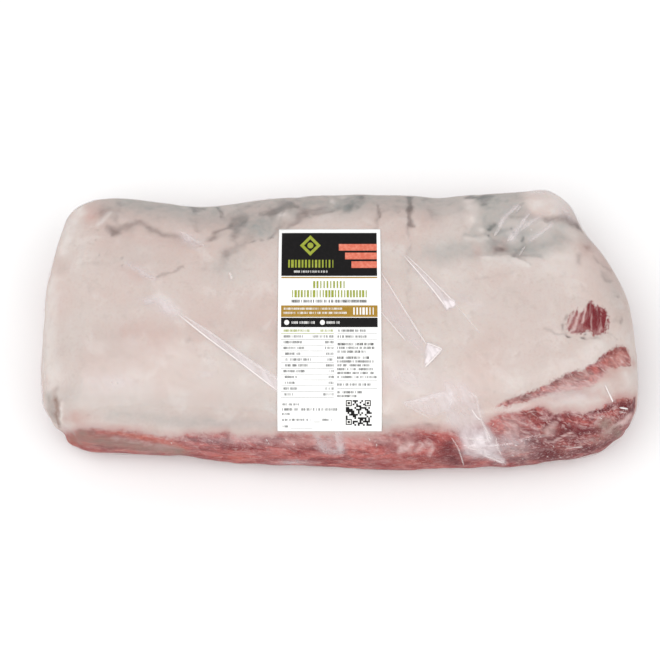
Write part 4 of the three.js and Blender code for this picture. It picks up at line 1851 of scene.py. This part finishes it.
def code_corners() -> tuple[PrintedField, ...]:
    """Nested squares in three corners of the chequered square."""
    cell = CODE_SIDE / CODE_CELLS
    far = CODE_SIDE - CORNER_CELLS * cell
    fields = []
    for across, down in ((0, 0), (far, 0), (0, far)):
        for layer, ink in enumerate((Ink.BLACK, Ink.WHITE, Ink.BLACK)):
            inset = 0.55 * cell * layer
            side = (CORNER_CELLS - 0.5) * cell - 2 * inset
            left, top = CODE_LEFT + across + inset, CODE_TOP + down + inset
            fields.append(PrintedField(ink, left, top, side, side, Shape.BAR, layer))
    return tuple(fields)


FIELDS = (
    PrintedField(Ink.BLACK, 1.65, 2.1, 50.8, 23.4),
    PrintedField(Ink.OCHRE, 1.7, 26.0, 50.8, 0.7),
    PrintedField(Ink.OCHRE, 1.7, 41.2, 50.8, 6.1),
    PrintedField(Ink.BLACK, 1.7, 47.7, 50.8, 5.0),
    PrintedField(Ink.GREEN, 11.4, 3.4, 11.1, 11.2, Shape.DIAMOND, 1),
    PrintedField(Ink.BLACK, 13.6, 5.6, 6.7, 6.8, Shape.DIAMOND, 2),
    PrintedField(Ink.GREEN, 15.4, 7.4, 3.2, 3.2, Shape.OVAL, 3),
    PrintedField(Ink.CORAL, 32.2, 8.2, 20.3, 3.6, Shape.BAR, 1),
    PrintedField(Ink.CORAL, 35.5, 12.9, 16.9, 3.6, Shape.BAR, 1),
    PrintedField(Ink.CORAL, 38.9, 17.6, 13.5, 3.6, Shape.BAR, 1),
    PrintedField(Ink.WHITE, 3.4, 48.9, 2.6, 2.6, Shape.OVAL, 1),
    PrintedField(Ink.WHITE, 22.2, 48.9, 2.6, 2.6, Shape.OVAL, 1),
    *rules(),
    *code_corners(),
)
RIGHT_HEADINGS = ((60.9, 18.6), (68.0, 16.2))
RIGHT_LINES = (
    (53.9, 14.6), (57.0, 15.0), (62.9, 19.2), (64.9, 15.2), (70.0, 18.8), (72.0, 16.6), (74.0, 18.4),
    (76.0, 18.6), (78.1, 20.6), (82.0, 18.2), (86.0, 12.4), (88.0, 10.1),
)
ROWS = (
    PrintedRow(Ink.GREEN, 5.7, 16.8, 23.3, 4.2, 0),
    PrintedRow(Ink.WHITE, 8.5, 22.6, 17.4, 1.1),
    PrintedRow(Ink.GREEN, 19.1, 28.2, 15.8, 3.8, 0),
    PrintedRow(Ink.GREEN, 7.7, 33.1, 38.9, 3.8, 0),
    PrintedRow(Ink.BLACK, 7.4, 38.2, 39.3, 1.5),
    PrintedRow(Ink.WHITE, 3.1, 42.4, 31.2, 1.1),
    PrintedRow(Ink.WHITE, 3.1, 44.6, 33.0, 1.1),
    PrintedRow(Ink.WHITE, 40.1, 42.3, 10.1, 3.8),
    PrintedRow(Ink.WHITE, 7.5, 49.6, 11.7, 1.3),
    PrintedRow(Ink.WHITE, 25.9, 49.6, 6.3, 1.3),
    PrintedRow(Ink.GREEN, 3.3, 53.9, 13.4, 1.2),
    PrintedRow(Ink.GREEN, 22.7, 53.9, 6.5, 1.2),
    *table_rows(),
    *(PrintedRow(Ink.BLACK, 31.4, top, width, 1.3) for top, width in RIGHT_HEADINGS),
    *(PrintedRow(Ink.GREY, 31.4, top, width, 1.2) for top, width in RIGHT_LINES),
    PrintedRow(Ink.GREY, 2.7, 92.4, 8.5, 1.1),
    PrintedRow(Ink.GREY, 2.7, 94.9, 28.3, 1.3),
    PrintedRow(Ink.GREY, 2.7, 97.4, 3.8, 1.1),
    PrintedRow(Ink.GREY, 2.7, 100.5, 14.4, 1.1),
    PrintedRow(Ink.GREY, 23.5, 100.5, 4.9, 1.1),
    PrintedRow(Ink.GREY, 2.7, 104.0, 3.6, 1.1),
)


@dataclass
class PaperLabel:
    """The paper label: a thin sheet that follows the bag, and the print on it."""

    MARK_WIDTH = 0.66
    NARROWEST, WIDEST = 0.3, 1.2

    skin: Skin
    node: Object
    gap_mm: float = 0.12
    thickness_mm: float = 0.14
    columns: int = 36
    rows: int = 70
    stiffness: int = 60
    ink_mm: float = 0.05
    pressed_layers: float = 2.5
    ink_cuts: int = 2
    slenderness: float = 0.42
    code_gaps: float = 0.48
    held_off_mm: float = 4.0
    trim_across_mm: float = 0.5
    trim_along_mm: float = 0.9
    seed: int = 5

    def __post_init__(self) -> None:
        """Takes the label's rectangle from its CAD node, and lays the sheet's grid over the bag."""
        points = coordinates(self.node.data)
        heights = points @ VIEW.up()
        self.left = float(points[:, 0].min()) + self.trim_across_mm * MM
        self.right = float(points[:, 0].max()) - self.trim_across_mm * MM
        self.bottom = float(heights.min()) + self.trim_along_mm * MM
        self.top = float(heights.max()) - self.trim_along_mm * MM
        self.depths = self._draped()

    def _draped(self) -> Array:
        """How far out towards the camera each corner of a stiff sheet that rests on the bag lies."""
        across = np.linspace(self.left, self.right, self.columns + 1)
        up = np.linspace(self.top, self.bottom, self.rows + 1)
        start = 0.3
        inward = Vector(-VIEW.out())
        bag = np.zeros((len(up), len(across)))
        for row, height in enumerate(up):
            for column, along in enumerate(across):
                origin = np.array([along, 0, 0]) + height * VIEW.up() + start * VIEW.out()
                hit = self.skin.faces.ray_cast(Vector(origin), inward)
                bag[row, column] = start - hit[3]
        sheet = bag.copy()
        for _ in range(self.stiffness):
            wide = np.pad(sheet, 1, mode="reflect", reflect_type="odd")
            around = wide[:-2, 1:-1] + wide[2:, 1:-1] + wide[1:-1, :-2] + wide[1:-1, 2:]
            sheet = np.maximum(around / 4, bag)
        return sheet

    def point(self, right_mm: float, down_mm: float, out_mm: float) -> Array:
        """A point over the label.

        Args:
            right_mm: How far it is from the left edge.
            down_mm: How far it is from the top edge.
            out_mm: How far it stands off the paper's upper face.

        Returns:
            Its three coordinates.
        """
        across, height = self.left + right_mm * MM, self.top - down_mm * MM
        column = (across - self.left) / (self.right - self.left) * self.columns
        row = (self.top - height) / (self.top - self.bottom) * self.rows
        column, row = np.clip((column, row), 0, (self.columns - 1e-6, self.rows - 1e-6))
        j, i = int(column), int(row)
        s, t = column - j, row - i
        upper = (1 - s) * self.depths[i, j] + s * self.depths[i, j + 1]
        lower = (1 - s) * self.depths[i + 1, j] + s * self.depths[i + 1, j + 1]
        depth = (1 - t) * upper + t * lower + (self.gap_mm + self.thickness_mm + out_mm) * MM
        return np.array([across, 0, 0]) + height * VIEW.up() + depth * VIEW.out()

    def width_mm(self) -> float:
        """The label's width."""
        return (self.right - self.left) / MM

    def height_mm(self) -> float:
        """The label's height."""
        return (self.top - self.bottom) / MM

    def grid(self, box: tuple[float, float, float, float], out_mm: float) -> Mesh:
        """A rectangle that follows the label, given by its left, top, width and height."""
        left, top, width, height = box
        wide = max(1, math.ceil(width / self.width_mm() * self.columns * self.ink_cuts))
        high = max(1, math.ceil(height / self.height_mm() * self.rows * self.ink_cuts))
        points = [
            self.point(left + width * j / wide, top + height * i / high, out_mm)
            for i in range(high + 1)
            for j in range(wide + 1)
        ]
        faces = []
        for i in range(high):
            for j in range(wide):
                corner = i * (wide + 1) + j
                faces.append((corner, corner + wide + 1, corner + wide + 2, corner + 1))
        return new_mesh("printed_patch", points, faces=faces)

    def rounded(self, printed: PrintedField, out_mm: float) -> Mesh:
        """An oval or a diamond that follows the label, in rings."""
        rings, sides = 4, 32
        middle_x, middle_y = printed.left + printed.width / 2, printed.top + printed.height / 2
        points = [self.point(middle_x, middle_y, out_mm)]
        for ring in range(1, rings + 1):
            for side in range(sides):
                turn = math.tau * side / sides
                x, y = math.cos(turn), math.sin(turn)
                reach = ring / rings / (abs(x) + abs(y) if printed.shape is Shape.DIAMOND else 1)
                across = middle_x + reach * x * printed.width / 2
                down = middle_y + reach * y * printed.height / 2
                points.append(self.point(across, down, out_mm))
        faces = [(0, 1 + (side + 1) % sides, 1 + side) for side in range(sides)]
        for ring in range(rings - 1):
            first = 1 + ring * sides
            for side in range(sides):
                after = (side + 1) % sides
                faces.append((first + side, first + after, first + after + sides, first + side + sides))
        return new_mesh("printed_shape", points, faces=faces)

    def sheet(self) -> Object:
        """Makes the paper, a closed sheet."""
        mesh = self.grid((0, 0, self.width_mm(), self.height_mm()), 0)
        paper = shown("label_sheet", mesh, PaperFinish().build())
        wall = paper.modifiers.new("thickness", "SOLIDIFY")
        wall.thickness = self.thickness_mm * MM
        wall.offset = -1
        solid = evaluated(paper)
        paper.modifiers.remove(wall)
        paper.data = solid
        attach(paper, BODY)
        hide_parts(LABEL_NODE)
        return paper

    def row_lines(self, ink: Ink) -> Mesh:
        """The middle lines of an ink's rows of marks, over the flat label, with the height of their marks."""
        points, edges, heights, gaps = [], [], [], []
        for row in ROWS:
            if row.ink is not ink:
                continue
            down = row.top + row.height / 2
            for right in (row.left, row.left + row.width):
                points.append(self.point(right, down, self.held_off_mm))
                heights.append(row.height * MM)
                gaps.append(row.gaps)
            edges.append((len(points) - 2, len(points) - 1))
        mesh = new_mesh("row_lines", points, edges)
        give_numbers(mesh, "mark_height", np.array(heights))
        give_numbers(mesh, "gaps", np.array(gaps))
        return mesh

    @staticmethod
    def row_tree() -> PrintTree:
        """Makes the tree that sets small upright marks along rows."""
        tree = PrintTree("label_rows")
        slenderness = tree.number("Slenderness")
        line = tree.node("GeometryNodeMeshToCurve", {0: tree.source})
        height = Number(tree, tree.attribute("mark_height"))
        pitch = height * slenderness
        spaced = tree.node("GeometryNodeResampleCurve", {0: line, "Length": pitch}, mode="LENGTH")
        spots = tree.node("GeometryNodeCurveToPoints", {0: spaced}, mode="EVALUATED")
        inputs = {"Size X": PaperLabel.MARK_WIDTH, "Size Y": 1.0, "Vertices X": 2, "Vertices Y": 2}
        mark = tree.node("GeometryNodeMeshGrid", inputs)
        width = pitch * tree.random(PaperLabel.NARROWEST, PaperLabel.WIDEST, tree.seed)
        size = tree.node("ShaderNodeCombineXYZ", {0: width, 1: height, 2: 1.0})
        inputs = {"Vector": tree.out}
        facing = tree.node("FunctionNodeAlignRotationToVector", inputs, axis="Z", pivot_axis="X")
        kept = tree.thin_out(spots, "POINT", tree.attribute("gaps"))
        inputs = {"Points": kept, "Instance": mark, "Rotation": facing, "Scale": size}
        placed = tree.node("GeometryNodeInstanceOnPoints", inputs)
        tree.press(tree.node("GeometryNodeRealizeInstances", {0: placed}))
        return tree

    @staticmethod
    def chequer_tree() -> PrintTree:
        """Makes the tree that takes random cells out of a square."""
        tree = PrintTree("label_chequer")
        tree.press(tree.thin_out(tree.source, "FACE", tree.number("Gaps")))
        return tree

    def chequer_plate(self) -> Mesh:
        """The square of loose cells that the chequer is made of, held over the label."""
        cell = CODE_SIDE / CODE_CELLS
        near, far = range(CORNER_CELLS), range(CODE_CELLS - CORNER_CELLS, CODE_CELLS)
        points, faces = [], []
        for i in range(CODE_CELLS):
            for j in range(CODE_CELLS):
                if (i in near and (j in near or j in far)) or (i in far and j in near):
                    continue
                left, top = CODE_LEFT + j * cell, CODE_TOP + i * cell
                first = len(points)
                for right, down in ((0, 0), (0, cell), (cell, cell), (cell, 0)):
                    points.append(self.point(left + right, top + down, self.held_off_mm))
                faces.append((first, first + 1, first + 2, first + 3))
        return new_mesh("chequer_plate", points, faces=faces)

    def print_ink(self, ink: Ink, sheet: Object) -> Object:
        """Makes all that is printed in one ink.

        Args:
            ink: The ink.
            sheet: The paper that it is printed on.

        Returns:
            The printed piece.
        """
        full, thin = ink.value
        name = f"label_print_{ink.name.lower()}"
        material = InkFinish(name, full, thin).build()
        parts = []
        for printed in FIELDS:
            if printed.ink is ink:
                out_mm = self.ink_mm * (1 + printed.layer)
                box = (printed.left, printed.top, printed.width, printed.height)
                bar = printed.shape is Shape.BAR
                parts.append(self.grid(box, out_mm) if bar else self.rounded(printed, out_mm))
        common = {
            "Seed": self.seed,
            "Sheet": sheet,
            "Out": tuple(VIEW.out()),
            "Lift": self.pressed_layers * self.ink_mm * MM,
            "Material": material,
        }
        values = {"Slenderness": self.slenderness, **common}
        parts.append(self._grown(self.row_tree(), self.row_lines(ink), values))
        if ink is Ink.BLACK:
            values = {"Gaps": self.code_gaps, **common}
            parts.append(self._grown(self.chequer_tree(), self.chequer_plate(), values))
        joined = bmesh.new()
        for part in parts:
            joined.from_mesh(part)
        mesh = bpy.data.meshes.new(name)
        joined.to_mesh(mesh)
        joined.free()
        piece = shown(name, mesh, material)
        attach(piece, BODY)
        return piece

    @staticmethod
    def _grown(tree: GeometryTree, mesh: Mesh, values: dict[str, Any]) -> Mesh:
        """What a tree makes of a mesh, without its object."""
        holder = tree.grow("printing", mesh, values)
        grown = holder.data
        bpy.data.objects.remove(holder)
        return grown


# The studio


@dataclass
class Studio:
    """A plain pale floor under soft light."""

    floor_m: float = 12.0
    drop_mm: float = 0.4
    surround: float = 0.73

    LIGHTS = (
        ("key", (-0.6, -0.42, 1.85), 2.0, 17.0),
        ("fill", (1.0, -0.5, 1.6), 1.5, 5.0),
        ("spark", (0.35, -1.7, 0.35), 0.2, 1.6),
    )

    def build(self) -> None:
        """Makes the floor, the lights and the surrounding light."""
        half = self.floor_m / 2
        corners = ((-half, -half), (half, -half), (half, half), (-half, half))
        points = [(x, y, -self.drop_mm * MM) for x, y in corners]
        mesh = new_mesh("studio_floor", points, faces=[(0, 1, 2, 3)])
        floor = shown("studio_floor", mesh, FloorFinish().build())
        for name, place, size, power in self.LIGHTS:
            data = bpy.data.lights.new(name, "AREA")
            data.shape = "DISK"
            data.size = size
            data.energy = power
            lamp = bpy.data.objects.new(name, data)
            lamp.location = place
            lamp.rotation_euler = (-Vector(place)).to_track_quat("-Z", "Y").to_euler()
            bpy.context.scene.collection.objects.link(lamp)
        world = bpy.data.worlds.new("studio")
        world.use_nodes = True
        world.node_tree.nodes["Background"].inputs["Color"].default_value = (1, 1, 1, 1)
        world.node_tree.nodes["Background"].inputs["Strength"].default_value = self.surround
        bpy.context.scene.world = world
        bpy.context.scene.view_settings.view_transform = "Standard"


def report(piece: Object) -> None:
    """Logs a finished piece."""
    LOG.info("%s: %d points, %d faces", piece.name, len(piece.data.vertices), len(piece.data.polygons))


def main() -> None:
    """Builds the loin, its bag and its label around the frame, and the studio round them."""
    VIEW.make_camera()
    skin = Skin(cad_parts[LOIN_NODE], levels=2)
    meat, meat_out = Loin(skin).build()
    report(meat)
    bag = ShrinkBag(skin, meat_out)
    film = bag.film()
    for piece in (film, bag.folds(), bag.creases(film)):
        report(piece)
    label = PaperLabel(skin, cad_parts[LABEL_NODE])
    sheet = label.sheet()
    report(sheet)
    for ink in Ink:
        report(label.print_ink(ink, sheet))
    Studio().build()


if __name__ == "__main__":
    logging.basicConfig(level=logging.INFO)
    main()
